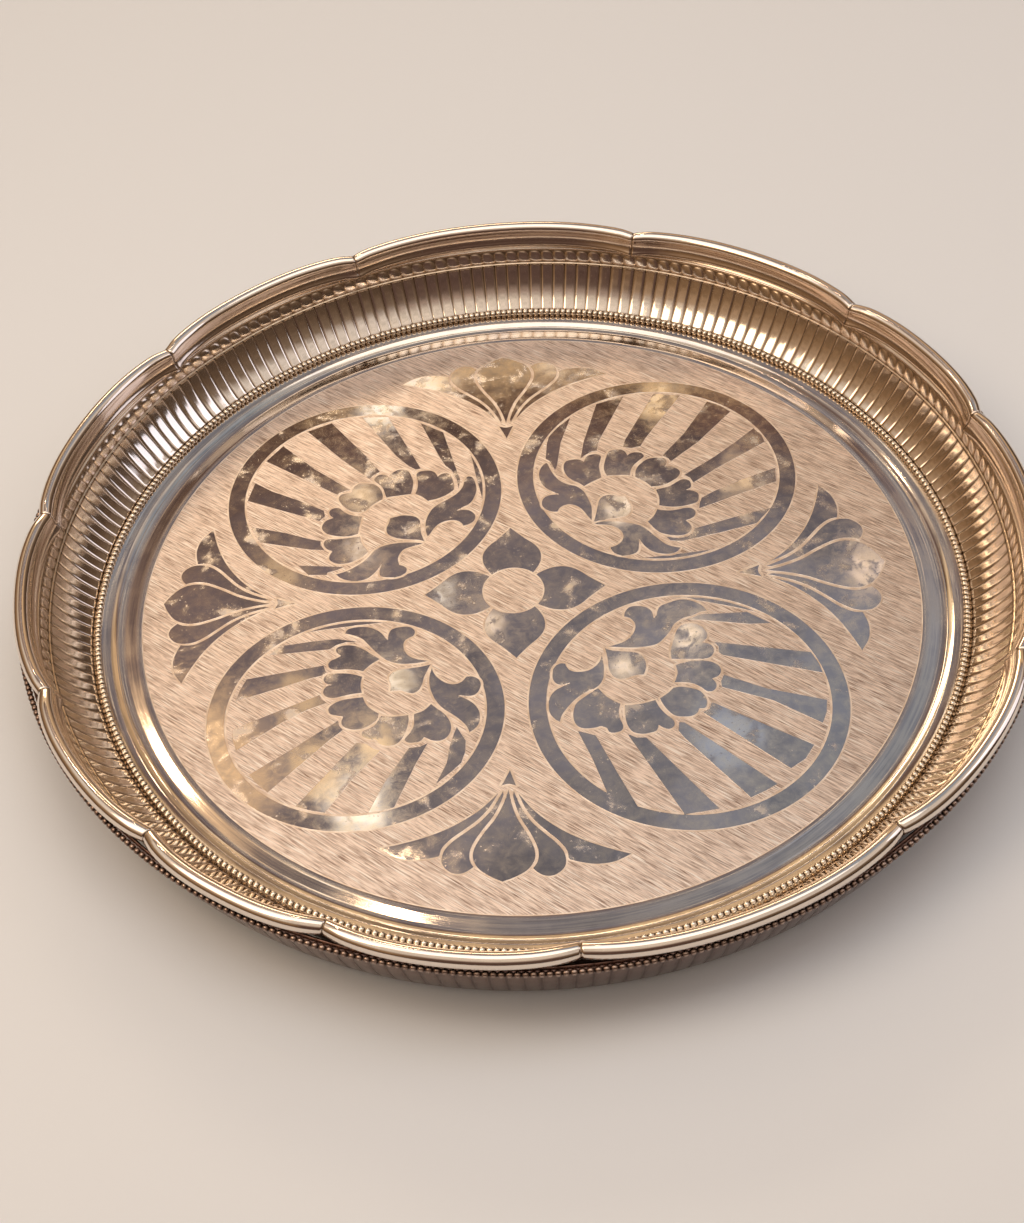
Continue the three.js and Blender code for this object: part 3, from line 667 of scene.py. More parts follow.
# Petals and leaves that run outwards along x
flowerPetal = [
    (5, 0), (6.5, 5.6), (9.5, 7.9), (12.5, 9.0), (16, 9.0), (19.3, 7.4), (22.8, 4.0), (27.4, 0, "tip"),
]
palmetteFoot = [(0, 0, "tip"), (6.4, 2.4, "tip"), (5.7, 0), (6.4, -2.4, "tip")]
palmettePetal = [
    (7.5, 0, "tip"), (13, 1.3), (18.7, 3.4), (24.3, 6.6), (29.9, 9.1), (33.8, 9.3), (37.5, 7.4),
    (40.3, 3.6), (42, 0, "tip"),
]
# The inner sides of these two run on under their neighbour, which is laid over them
palmetteDrop = [
    (7.9, 1.6, "tip"), (14.9, 4.7), (19.6, 8.0), (23.3, 11.8), (26.6, 15.3), (30.3, 17.8), (34.5, 18.1),
    (37.4, 15.9), (38.3, 12.9), (36.9, 9.8), (34.0, 7.6), (28, 6.6), (23.3, 4.6), (18.7, 2.4), (13.1, 0.8),
]
palmetteLeaf = [
    (8.4, 2.6, "tip"), (14.9, 7.5), (20.5, 13.9), (24.3, 20.3), (27, 26.9), (28.9, 33.0, "tip"),
    (31.7, 28.7), (32.7, 24.1), (32.3, 20.3), (31.4, 17.0, "tip"), (26.6, 13.8), (22.9, 9.9),
    (18.7, 6.2), (14, 3.4),
]


# A closed outline through the points, smooth except at tips
def curvedOutline(points, steps=6):
    outline = []
    count = len(points)
    for index in range(count):
        before, here, there, after = (points[(index + shift) % count] for shift in (-1, 0, 1, 2))
        span = math.dist(here[:2], there[:2])
        leaveFrom = here if len(here) > 2 else before
        arriveAt = there if len(there) > 2 else after
        leave = Vector((there[0] - leaveFrom[0], there[1] - leaveFrom[1])).normalized() * span
        arrive = Vector((arriveAt[0] - here[0], arriveAt[1] - here[1])).normalized() * span
        for step in range(steps):
            t = step / steps
            start = 2 * t ** 3 - 3 * t ** 2 + 1
            pullOut = t ** 3 - 2 * t ** 2 + t
            pullIn = t ** 3 - t ** 2
            outline.append(tuple(
                start * here[axis] + pullOut * leave[axis] + (1 - start) * there[axis] + pullIn * arrive[axis]
                for axis in (0, 1)))
    return outline


def mirrored(points):
    return [(point[0], -point[1], *point[2:]) for point in reversed(points)]


# One side of a leaf, from its root to its tip, made whole
def bothSides(points):
    return points + [point for point in mirrored(points) if point[1] != 0]


def circleOutline(centre, radius, count=96):
    angles = [2 * math.pi * step / count for step in range(count)]
    return [(centre[0] + radius * math.cos(angle), centre[1] + radius * math.sin(angle)) for angle in angles]


def placed(outline, centre, degree, length=1.0, width=1.0):
    along = math.cos(math.radians(degree))
    up = math.sin(math.radians(degree))
    return [(centre[0] + x * length * along - y * width * up,
             centre[1] + x * length * up + y * width * along) for x, y in outline]


# An outline moved outwards by a distance all round
def widened(outline, distance):
    doubled = sum(a[0] * b[1] - b[0] * a[1] for a, b in zip(outline, outline[1:] + outline[:1]))
    side = distance if doubled > 0 else -distance
    moved = []
    for index, point in enumerate(outline):
        before = Vector(outline[index - 1])
        after = Vector(outline[(index + 1) % len(outline)])
        along = (after - before).normalized()
        moved.append((point[0] + along[1] * side, point[1] - along[0] * side))
    return moved


# The medallion's ring, or a line inside or outside it
def ringOutline(place, inset):
    centre = place["ring"]
    reach = [radius - inset for radius in place["radii"]]
    return [(centre[0] + x * reach[0], centre[1] + y * reach[1]) for x, y in circleOutline((0, 0), 1, 144)]


# A thin crescent inside the ring
def crescentOutline(place):
    first, last = place["crescent"]
    inset = medallion["ringWidth"] + lineWidth["medallion"] + medallion["crescentGap"]
    steps = 14
    outer = []
    inner = []
    for step in range(steps + 1):
        degree = math.radians(first + (last - first) * step / steps)
        width = medallion["crescentWidth"] * math.sin(math.pi * step / steps)
        for side, depth in ((outer, inset), (inner, inset + width)):
            side.append((place["ring"][0] + (place["radii"][0] - depth) * math.cos(degree),
                         place["ring"][1] + (place["radii"][1] - depth) * math.sin(degree)))
    return outer + inner[-2:0:-1]


# Outlines in the order in which they are laid over each other, each "polished", "satin" or "line"
def medallionOutlines(place):
    laid = [("line", ringOutline(place, -lineWidth["ground"])),
            ("polished", ringOutline(place, 0)),
            ("line", ringOutline(place, medallion["ringWidth"])),
            ("satin", ringOutline(place, medallion["ringWidth"] + lineWidth["medallion"]))]
    laid += [("polished", ray) for ray in place["rays"]]
    laid.append(("polished", crescentOutline(place)))
    cut = [curvedOutline(points, 5) for points in (*place["petals"], *place["leaves"], place["bud"])]
    laid += [("line", widened(outline, lineWidth["medallion"])) for outline in cut]
    laid += [("polished", outline) for outline in cut]
    return laid


# The line round a palmette's petal: wide as far out as its neighbour reaches, then thin
def petalLine(outline, reach):
    wide = widened(outline, lineWidth["petal"])
    thin = widened(outline, lineWidth["ground"])
    line = []
    for point, far, near in zip(outline, wide, thin):
        share = min(1.0, max(0.0, (reach - point[0]) / lineWidth["petalBlend"]))
        line.append((near[0] + (far[0] - near[0]) * share, near[1] + (far[1] - near[1]) * share))
    return line


# Each part of a palmette, from the lowest up: whether it is there twice, how far its neighbour
# reaches along it, and the scale that it takes
palmetteParts = (
    (palmetteLeaf, True, 0, "leaves"),
    (palmetteDrop, True, 33, "drops"),
    (bothSides(palmettePetal), False, 38, "petal"),
    (palmetteFoot, False, 9, "petal"),
)


def palmetteOutlines(place):
    laid = []
    for part, paired, reach, scale in palmetteParts:
        cut = [curvedOutline(part)]
        if paired:
            cut.append(curvedOutline(mirrored(part)))
        for finish, outlines in (("line", [petalLine(outline, reach) for outline in cut]), ("polished", cut)):
            laid += [(finish, placed(outline, place["tip"], place["turn"], *place[scale]))
                     for outline in outlines]
    return laid


def flowerOutlines():
    petal = curvedOutline(bothSides(flowerPetal))
    cut = [placed(petal, flower["middle"], 90 * index, reach / flowerPetal[-1][0])
           for index, reach in enumerate(flower["petalReach"])]
    disc = flower["discRadius"]
    return [("line", widened(outline, lineWidth["ground"])) for outline in cut] + [
        ("polished", outline) for outline in cut] + [
        ("line", circleOutline(flower["middle"], disc, 72)),
        ("satin", circleOutline(flower["middle"], disc - lineWidth["ground"], 72))]


def isInside(x, y, outline):
    inside = False
    beforeX, beforeY = outline[-1]
    for hereX, hereY in outline:
        if (hereY > y) != (beforeY > y) and x < (beforeX - hereX) * (y - hereY) / (beforeY - hereY) + hereX:
            inside = not inside
        beforeX, beforeY = hereX, hereY
    return inside


# Dish: satin ground with polished ornament, mirror margin, moulding, reeded cove and flared lip

dish = {
    "sheet": 1.0, "satinRadius": 117.6, "cutWidth": 0.36, "cutDepth": 0.05,
    "reliefHeight": 0.05, "reliefBevel": 0.12, "marginSag": 0.03,
    "ridge": ((-0.08, 0.06), (0.06, 0.13), (0.2, 0.1), (0.3, 0.12)), "ridgeReach": 0.2,
    "floorRadius": 125.2, "mouldingWidth": 1.8, "mouldingRise": 0.8, "bandWidth": 2.8, "bandRise": 0.6,
    "bandMiddle": 0.46, "seatWidth": 2.0, "seatRise": 0.7, "coveWidth": 10.0, "coveHeight": 13.3,
    "coveTurnWidth": 6.0, "coveTurnHeight": 4.5, "creaseStep": 0.4, "flareWidth": 3.9, "flareHeight": 9.0,
    "reedCount": 216, "reedRows": 22, "reedDepth": 0.22, "reedStart": 0.5, "reedEnd": 0.3,
    "reedFlatness": 6, "reedFoot": 0.35,
    "curlRows": 12, "curlDepth": 0.32, "curlFrom": 0.15, "curlTo": 4.3, "curlLean": 0.25,
    "curlFlatness": 2.6, "curlFoot": 0.5, "curlHead": 1.1, "curlDraw": 0.5,
    "filletAt": 5.0, "filletRadius": 0.28, "filletDraw": 0.6, "undersideRings": (124, 90, 40),
}
# Darkening at each height of the wall, from 0, bright, to 1, brown: tarnish, and painted shade in the
# grooves, at the seat's pits, at the cove's head, in the crease under the curls, round the curls and at the
# fillet. A reed darkens into its groove by groovePower, and the cove's head, in painted shade, over its last
# coveHeadReach millimetres
wallHollows = {
    "seat": 0.25, "seatGroove": 0.8, "groovePower": 1.5, "coveHead": 0.5, "coveHeadReach": 1.2,
    "crease": 0.5, "flareFoot": 0.3, "flareGroove": 0.6, "curlEdge": 0.7, "fillet": 0.4, "flare": 0.25,
}
reedSplit = (-0.44, -0.3, -0.15, 0.0, 0.15, 0.3, 0.44, 0.5)  # columns across a reed, in reed widths
grooveFrom = 0.4  # in reed widths from a reed's middle


def pointFrom(point, width, rise):
    return (point[0] + width, point[1] + rise)


floorEdge = (dish["floorRadius"], dish["sheet"])
mouldingTop = pointFrom(floorEdge, dish["mouldingWidth"], dish["mouldingRise"])
seatStart = pointFrom(mouldingTop, dish["bandWidth"], dish["bandRise"])
seatEnd = pointFrom(seatStart, dish["seatWidth"], dish["seatRise"])
coveTurn = pointFrom(seatEnd, dish["coveTurnWidth"], dish["coveTurnHeight"])
crease = pointFrom(seatEnd, dish["coveWidth"], dish["coveHeight"])
flareStart = pointFrom(crease, dish["creaseStep"], 0)
lip = pointFrom(flareStart, dish["flareWidth"], dish["flareHeight"])
reedPitch = 360 / dish["reedCount"]
columns = [lobes["firstCusp"] + (reed + split) * reedPitch
           for reed in range(dish["reedCount"]) for split in reedSplit]


def covePoint(t):
    return tuple((1 - t) ** 2 * seatEnd[axis] + 2 * t * (1 - t) * coveTurn[axis] + t * t * crease[axis]
                 for axis in (0, 1))


def coveNormal(t):
    along = Vector([2 * (1 - t) * (coveTurn[axis] - seatEnd[axis]) + 2 * t * (crease[axis] - coveTurn[axis])
                    for axis in (0, 1)]).normalized()
    return (-along[1], along[0])


# How far a reed or curl stands out, from 0 to 1: flat across its middle, and round at its foot and
# head, of which "ends" gives the reach and the distance from each, both in half widths
def reedShare(across, flatness, ends):
    rest = 1 - abs(across) ** flatness
    for reach, distance in ends:
        if distance <= 0:
            return 0.0
        rest -= max(0.0, 1 - distance / reach) ** 2
    return math.sqrt(max(0.0, rest))


def buildDish():
    points = []
    hollows = []
    rings = []
    sheet = dish["sheet"]

    # share is the ring's share of the cusps' draw; lift gives, for a place across a reed, how far
    # the ring stands out along normal and how hollow it is
    def addRing(profile, share=0.0, lift=None, normal=(0, 1)):
        ring = []
        for index, degree in enumerate(columns):
            amount, hollow = lift(reedSplit[index % len(reedSplit)]) if lift else (0.0, 0.0)
            radius = profile[0] + normal[0] * amount
            height = profile[1] + normal[1] * amount
            ring.append(ringPoint(radius, height, degree, share))
            hollows.append(hollow)
        points.extend(ring)
        rings.append(ring)

    # margin, with a bright cut line round the satin ground, a sloped moulding between two fine
    # ridges, and a band up to the seat of the beaded wire
    cut = dish["satinRadius"]
    addRing((cut, sheet))
    addRing((cut + dish["cutWidth"] / 2, sheet - dish["cutDepth"]))
    addRing((cut + dish["cutWidth"], sheet))
    lineEnd = len(rings) - 1
    for share in (0.3, 0.65, 1.0):
        margin = floorEdge[0] - dish["ridgeReach"] - cut - dish["cutWidth"]
        addRing((cut + dish["cutWidth"] + margin * share,
                 sheet - dish["marginSag"] * math.sin(math.pi * share)))
    for foot in (floorEdge, mouldingTop):
        for width, rise in dish["ridge"]:
            addRing(pointFrom(foot, width, rise))
    addRing(pointFrom(mouldingTop, dish["bandWidth"] / 2, dish["bandRise"] * dish["bandMiddle"]))
    addRing(seatStart)
    spunEnd = len(rings) - 1
    addRing(pointFrom(seatStart, dish["seatWidth"] / 2, dish["seatRise"] / 2))
    # painted shade: dark pits at the reeds' edges, where the seat meets the cove
    addRing(seatEnd, lift=lambda split: (
        0.0, wallHollows["seatGroove"] if abs(split) > grooveFrom else wallHollows["seat"]))

    # cove with round-ended reeds
    coveSteps = 200
    lengths = [0.0]
    for step in range(coveSteps):
        here = covePoint(step / coveSteps)
        there = covePoint((step + 1) / coveSteps)
        lengths.append(lengths[-1] + math.dist(here, there))
    first = dish["reedStart"]
    last = lengths[-1] - dish["reedEnd"]

    def reedLift(along, halfWidth):
        # painted shade over the reeds' heads, under the curls that stand over them
        reach = wallHollows["coveHeadReach"]
        shade = wallHollows["coveHead"] * max(0.0, (along - last + reach) / reach) ** 2
        ends = [(dish["reedFoot"], (along - first) / halfWidth)]

        def lift(split):
            # each reed darker into its groove by tarnish and painted shade, and at its head by the painted
            # shade above
            share = reedShare(split * 2, dish["reedFlatness"], ends)
            return dish["reedDepth"] * share, (1 - share) ** wallHollows["groovePower"] + shade
        return lift

    for row in range(dish["reedRows"] + 1):
        along = first + (last - first) * (1 - math.cos(math.pi * row / dish["reedRows"])) / 2
        t = next(step for step in range(coveSteps + 1) if lengths[step] >= along - 1e-9) / coveSteps
        profile = covePoint(t)
        addRing(profile, lift=reedLift(along, math.pi * profile[0] / dish["reedCount"]), normal=coveNormal(t))
    # painted shade: a dark line in the crease under the curls, darkest between the reeds
    addRing(crease, lift=lambda split: (0.0, wallHollows["crease"]))
    addRing(flareStart, lift=lambda split: (
        0.0, wallHollows["flareFoot"] + wallHollows["flareGroove"] * abs(split)))

    # leaning curls above the crease, then a fillet and the smooth flare up to the lip
    flareLength = math.dist(flareStart, lip)
    flareNormal = (-dish["flareHeight"] / flareLength, dish["flareWidth"] / flareLength)

    def flarePoint(along):
        return pointFrom(flareStart, dish["flareWidth"] * along / flareLength,
                         dish["flareHeight"] * along / flareLength)

    def curlLift(along):
        halfWidth = math.pi * flareStart[0] / dish["reedCount"]
        lean = dish["curlLean"] * (along - (dish["curlFrom"] + dish["curlTo"]) / 2)
        ends = [(dish["curlFoot"], (along - dish["curlFrom"]) / halfWidth),
                (dish["curlHead"], (dish["curlTo"] - along) / halfWidth)]

        def lift(split):
            across = (split * 2 * halfWidth - lean + halfWidth) % (2 * halfWidth) - halfWidth
            share = reedShare(across / halfWidth, dish["curlFlatness"], ends)
            # painted shade round each curl, where it is not raised
            return dish["curlDepth"] * share, wallHollows["curlEdge"] * (1 - share)
        return lift

    for row in range(dish["curlRows"] + 1):
        along = dish["curlFrom"] + (dish["curlTo"] - dish["curlFrom"]) * row / dish["curlRows"]
        addRing(flarePoint(along), share=along / flareLength * dish["curlDraw"], lift=curlLift(along),
                normal=flareNormal)
    # the fillet is painted darker at its feet than on its top, as shade
    for angle in (0, 45, 90, 135, 180):
        turn = math.radians(angle)
        along = dish["filletAt"] - dish["filletRadius"] * math.cos(turn)
        stand = dish["filletRadius"] * math.sin(turn)
        addRing(flarePoint(along), share=along / flareLength * dish["filletDraw"], normal=flareNormal,
                lift=lambda split: (stand, wallHollows["fillet"] - stand))
    for share in (0.68, 0.8, 0.92, 1.0):
        addRing(flarePoint(flareLength * share), share=share, lift=lambda split: (0.0, wallHollows["flare"]))

    # back down the outside and across the underside
    addRing(pointFrom(lip, sheet, 0), share=1.0)
    addRing(pointFrom(flarePoint(flareLength / 2), sheet, 0), share=0.5)
    addRing(pointFrom(flareStart, sheet, -dish["creaseStep"]))
    for t in (0.75, 0.5, 0.25):
        normal = coveNormal(t)
        addRing(pointFrom(covePoint(t), -normal[0] * sheet, -normal[1] * sheet))
    addRing(pointFrom(seatEnd, sheet / 2, -sheet))
    addRing(pointFrom(mouldingTop, sheet / 2, -sheet))
    addRing((dish["floorRadius"] + sheet / 2, 0.0))
    for radius in dish["undersideRings"]:
        addRing((radius, 0.0))

    count = len(columns)
    faces = gridFaces(len(rings), count, False)
    kinds = []
    for row in range(len(rings) - 1):
        kinds += ["line" if row < lineEnd else "spun" if row < spunEnd else "wall"] * count
    points.append((0, 0, 0))
    hollows.append(0.0)
    bottom = len(points) - 1
    lastRow = (len(rings) - 1) * count
    for column in range(count):
        faces.append((lastRow + column, lastRow + (column + 1) % count, bottom))
        kinds.append("wall")
    fillFloor(rings[0], points, hollows, faces, kinds)

    materials = [satinSilver, mirrorSilver, wallSilver, cutSilver, spunSilver]
    piece = addPiece("dish_body_dressed", points, faces, materials, ["dish_body"])
    finishDish(piece, hollows, kinds)


# The ground and its ornament fill the first ring as one mesh: each triangle takes the finish of the
# last outline laid over it, and satin where there is none
def fillFloor(ring, points, hollows, faces, kinds):
    laid = []
    for place in medallions:
        laid += medallionOutlines(place)
    for place in palmettes:
        laid += palmetteOutlines(place)
    laid += flowerOutlines()
    count = len(ring)
    flatPoints = [Vector(point[:2]) for point in ring]
    flatEdges = [(index, (index + 1) % count) for index in range(count)]
    boxes = []
    for finish, outline in laid:
        first = len(flatPoints)
        flatEdges += [(first + index, first + (index + 1) % len(outline)) for index in range(len(outline))]
        flatPoints += [Vector(point) for point in outline]
        boxes.append((min(x for x, y in outline), max(x for x, y in outline),
                      min(y for x, y in outline), max(y for x, y in outline)))
    wholePlane = 0
    nearest = 1e-5
    corners, _, triangles, cornersFrom = delaunay_2d_cdt(
        flatPoints, flatEdges, [], wholePlane, nearest)[:4]
    indexOf = []
    for corner, sources in zip(corners, cornersFrom):
        onRing = [source for source in sources if source < count]
        indexOf.append(onRing[0] if onRing else len(points))
        if not onRing:
            points.append((corner[0], corner[1], dish["sheet"]))
            hollows.append(0.0)
    for triangle in triangles:
        x = sum(corners[corner][0] for corner in triangle) / 3
        y = sum(corners[corner][1] for corner in triangle) / 3
        kind = "satin"
        for (finish, outline), (left, right, bottom, top) in zip(reversed(laid), reversed(boxes)):
            if left < x < right and bottom < y < top and isInside(x, y, outline):
                kind = finish
                break
        faces.append(tuple(indexOf[corner] for corner in triangle))
        kinds.append(kind)
    print("floor pattern:", len(laid), "outlines,", len(triangles), "triangles")


brushSpan = 300  # the plate's width, over which the brushing coordinates run from 0 to 1


# Material numbers, the ornament's relief, the brushing direction and the hollows
def finishDish(piece, hollows, kinds):
    mesh = piece.data
    numbers = {"satin": 0, "polished": 1, "wall": 2, "line": 3, "spun": 4}
    mesh.polygons.foreach_set("material_index", [numbers[kind] for kind in kinds])
    mesh.polygons.foreach_set("use_smooth", [kind in ("spun", "wall") for kind in kinds])
    setHollows(mesh, hollows)
    mesh.update()
    shape = bmesh.new()
    shape.from_mesh(mesh)
    shape.faces.ensure_lookup_table()
    raised = [shape.faces[index] for index, kind in enumerate(kinds) if kind == "polished"]
    edging = bmesh.ops.inset_region(shape, faces=raised, thickness=dish["reliefBevel"] * mm,
                                    depth=dish["reliefHeight"] * mm, use_boundary=True, use_even_offset=False)
    for face in edging["faces"]:
        face.material_index = numbers["line"]
    brushing = shape.loops.layers.uv.new("brushing")
    direction = math.radians(satin["direction"])
    along = Vector((math.cos(direction), math.sin(direction)))
    span = brushSpan * mm
    for face in shape.faces:
        for loop in face.loops:
            flat = loop.vert.co.xy
            loop[brushing].uv = (flat.dot(along) / span + 0.5, flat.cross(along) / -span + 0.5)
    shape.to_mesh(mesh)
    shape.free()
    mesh.update()


buildDish()
print("dish built")


# Beaded wires: round wire rolled into beads that just touch

innerBeads = {
    "name": "inner_beads", "node": "inner_bead_wire", "ring": 130.40, "height": 3.88, "radius": 0.95,
    "count": 432,
}
outerBeads = {
    "name": "outer_beads", "node": "outer_bead_wire", "ring": 149.05, "height": 23.52, "radius": 0.85,
    "count": 480,
}
beadShape = {"sides": 12, "neck": 0.86, "rootHollow": 1.1}
beadSplit = (-1.0, -0.72, -0.35, 0.0, 0.35, 0.72)  # columns across a bead, in half pitches


def buildBeads(wire, material):
    points = []
    hollows = []
    sides = beadShape["sides"]
    narrowest = math.sqrt(1 - beadShape["neck"] ** 2)
    for bead in range(wire["count"]):
        for split in beadSplit:
            degree = (bead + split / 2) * 360 / wire["count"]
            swell = math.sqrt(1 - (beadShape["neck"] * split) ** 2)
            for side in range(sides):
                angle = 2 * math.pi * side / sides
                radius = wire["ring"] + wire["radius"] * swell * math.cos(angle)
                height = wire["height"] + wire["radius"] * swell * math.sin(angle)
                points.append(ringPoint(radius, height, degree))
                # darker towards each bead's neck: tarnish and painted shade between the beads
                hollows.append(beadShape["rootHollow"] * (1 - swell) / (1 - narrowest))
    faces = gridFaces(wire["count"] * len(beadSplit), sides, True)
    piece = addPiece(wire["name"], points, faces, [material], [wire["node"]])
    setHollows(piece.data, hollows)
    smoothShade(piece)


buildBeads(innerBeads, beadSilver)
buildBeads(outerBeads, outerBeadSilverWithPaintedShade)
print("beaded wires built")


# Scalloped border: an apron inside the lip and a roll over the wire, pinched at each cusp

border = {
    "thickness": 0.6, "rollRadius": 2.31, "rollOut": 1.5, "rollEnd": -60, "rollSteps": 22, "boreSteps": 12,
    "apronHeight": 2.9, "noseHeight": 0.5, "noseSwell": 1.1, "solderGap": 0.3, "endGap": 0.04,
    "wireRadius": 1.45, "pinchReach": 3.4, "pinchIn": 0.2, "pinchDown": 0.3, "pinchNarrow": 0.07,
    "seamReach": 0.7, "seamNarrow": 0.035, "noseIn": 0.6, "noseDown": 3, "stations": 44, "evenShare": 0.35,
    "seamHollow": 0.15, "pinchHollow": 0.1, "apronHollow": 0.25,
}
rollCentre = (lip[0] + border["rollOut"], lip[1] + border["wireRadius"] + border["solderGap"])
flareSlope = dish["flareWidth"] / dish["flareHeight"]


def arcOutline(centre, radius, first, last, steps):
    angles = [math.radians(first + (last - first) * step / steps) for step in range(steps + 1)]
    return [(centre[0] + radius * math.cos(angle), centre[1] + radius * math.sin(angle)) for angle in angles]


def borderProfile():
    apronTop = pointFrom(lip, -border["solderGap"], 0)
    apronToe = pointFrom(apronTop, -border["apronHeight"] * flareSlope, -border["apronHeight"])
    thick = border["thickness"]
    inside = [pointFrom(apronToe, -thick, 0),
              pointFrom(apronToe, -thick * border["noseSwell"], border["noseHeight"])]
    for share in (0.35, 0.7, 1.0):
        inside.append(pointFrom(apronToe, (apronTop[0] - apronToe[0]) * share - thick,
                                (apronTop[1] - apronToe[1]) * share))
    roll = arcOutline(rollCentre, border["rollRadius"], 180, border["rollEnd"], border["rollSteps"])
    bore = arcOutline(rollCentre, border["rollRadius"] - thick, border["rollEnd"], 180, border["boreSteps"])
    return inside + roll + bore + [apronTop, apronToe], len(inside)


# One length of border from cusp to cusp, its stations closer together towards both ends
def buildBorderSection(name, node, cusp, span):
    profile, apronCount = borderProfile()
    trim = math.degrees(border["endGap"] / 2 / rollCentre[0])
    points = []
    hollows = []
    for station in range(border["stations"] + 1):
        share = (1 - math.cos(math.pi * station / border["stations"])) / 2
        share = border["evenShare"] * station / border["stations"] + (1 - border["evenShare"]) * share
        degree = cusp + trim + (span - 2 * trim) * share
        fromCusp = min(degree - cusp, cusp + span - degree)
        distance = math.radians(fromCusp) * rollCentre[0]
        pinch = math.exp(-(distance / border["pinchReach"]) ** 2)
        seam = math.exp(-(distance / border["seamReach"]) ** 2)
        narrow = 1 - border["pinchNarrow"] * pinch - border["seamNarrow"] * seam
        for index, (radius, height) in enumerate(profile):
            onApron = index < apronCount
            x = rollCentre[0] + (radius - rollCentre[0]) * narrow
            z = rollCentre[1] + (height - rollCentre[1]) * narrow
            x -= border["pinchIn"] * pinch
            z -= border["pinchDown"] * pinch
            if onApron:
                toe = 1 - index / apronCount
                x -= border["noseIn"] * pinch * toe
                z -= (1 - narrow) * border["noseDown"] * toe
            points.append(ringPoint(x, z, degree, 1.0))
            # painted shade: darker at the seams between sections, in each cusp's pinch and on the apron under
            # the roll
            hollows.append(min(1.0, border["seamHollow"] * seam + border["pinchHollow"] * pinch
                               + (border["apronHollow"] if onApron else 0.0)))
    count = len(profile)
    faces = gridFaces(border["stations"] + 1, count, False)
    lastRow = border["stations"] * count
    faces.append(tuple(range(count)))
    faces.append(tuple(lastRow + column for column in reversed(range(count))))
    piece = addPiece(name, points, faces, [borderSilver], [node])
    setHollows(piece.data, hollows)
    smoothShade(piece)
    for face in piece.data.polygons[-2:]:
        face.use_smooth = False
    turnOutwards(piece)


cusp = lobes["firstCusp"]
for number, span in enumerate(lobes["spans"], 1):
    buildBorderSection(f"border_section_{number:02d}", f"rim_section_{number:02d}", cusp, span)
    cusp += span
print("border built")


# Steel wire inside the roll

rimWire = {"sides": 14, "columns": 720}


def buildRimWire():
    points = []
    for column in range(rimWire["columns"]):
        degree = column * 360 / rimWire["columns"]
        for side in range(rimWire["sides"]):
            angle = 2 * math.pi * side / rimWire["sides"]
            points.append(ringPoint(rollCentre[0] + border["wireRadius"] * math.cos(angle),
                                    rollCentre[1] + border["wireRadius"] * math.sin(angle), degree, 1.0))
    faces = gridFaces(rimWire["columns"], rimWire["sides"], True)
    piece = addPiece("rim_wire_drawn", points, faces, [drawnSteel], ["rim_wire"])
    smoothShade(piece)
    turnOutwards(piece)


buildRimWire()
print("rim wire built")


# Fluted gallery strip under the border

gallery = {
    "top": (147.95, 24.37), "fluteTop": (147.95, 22.37), "foot": (142.15, 4.37), "bulge": 0.5,
    "thickness": 0.7, "fluteDepth": 0.14, "fluteFade": 4, "rows": 14, "fluteHollow": 0.5,
    "insideHollow": 0.6,
}
fluteSplit = (-0.4, -0.2, 0.0, 0.2, 0.4, 0.5)  # columns across a flute, in flute widths


def buildGallery():
    degrees = [lobes["firstCusp"] + (flute + split) * reedPitch
               for flute in range(dish["reedCount"]) for split in fluteSplit]
    profile = [(gallery["top"], 0.0), (gallery["fluteTop"], 0.0)]
    for row in range(1, gallery["rows"]):
        share = row / gallery["rows"]
        radius = gallery["fluteTop"][0] + (gallery["foot"][0] - gallery["fluteTop"][0]) * share
        height = gallery["fluteTop"][1] + (gallery["foot"][1] - gallery["fluteTop"][1]) * share
        swell = math.sin(math.pi * share)
        fluted = min(1.0, gallery["fluteFade"] * min(share, 1 - share))
        profile.append(((radius + gallery["bulge"] * swell, height), fluted))
    profile.append((gallery["foot"], 0.0))
    outside = len(profile)
    for point, _ in reversed(profile[::3]):
        profile.append((pointFrom(point, -gallery["thickness"], 0), 0.0))
    points = []
    hollows = []
    for index, (point, fluted) in enumerate(profile):
        for column, degree in enumerate(degrees):
            crown = math.sqrt(max(0.0, 1 - (2 * fluteSplit[column % len(fluteSplit)]) ** 2))
            points.append(ringPoint(point[0] + gallery["fluteDepth"] * fluted * crown, point[1], degree))
            # darker between the flutes and on the inside face: tarnish and painted shade
            hollow = (1 - crown) * gallery["fluteHollow"] if index < outside else gallery["insideHollow"]
            hollows.append(hollow)
    faces = gridFaces(len(profile), len(degrees), True)
    piece = addPiece("gallery_strip", points, faces, [gallerySilver], ["outer_gallery"])
    setHollows(piece.data, hollows)
    smoothShade(piece)
    turnOutwards(piece)


buildGallery()
print("gallery built")


# Stage, light and camera

stage = {"halfWidth": 3.0, "colour": "#E8ECF1", "roughness": 0.85, "teethPerMetre": 900, "toothDepth": 0.2}


def buildStage():
    mesh = bpy.data.meshes.new("floor")
    half = stage["halfWidth"]
    corners = [(-half, -half, 0), (half, -half, 0), (half, half, 0), (-half, half, 0)]
    mesh.from_pydata(corners, [], [(0, 1, 2, 3)])
    floor = addObject("floor", mesh)
    # matt paper, its tooth drawn at about 1 mm so that it shows
    material, tree = newMaterial("paperFloor")
    place = addNode(tree, "ShaderNodeTexCoord")
    tooth = addNode(tree, "ShaderNodeTexNoise", {
        "Scale": stage["teethPerMetre"], "Detail": 3,
    }, {"Vector": place.outputs["Object"]})
    bump = addNode(tree, "ShaderNodeBump", {
        "Strength": 0.1, "Distance": stage["toothDepth"] * mm,
    }, {"Height": tooth.outputs["Fac"]})
    finishMaterial(tree, {"Base Color": hexColour(stage["colour"]), "Roughness": stage["roughness"]},
                   {"Normal": bump.outputs["Normal"]})
    mesh.materials.append(material)


buildStage()

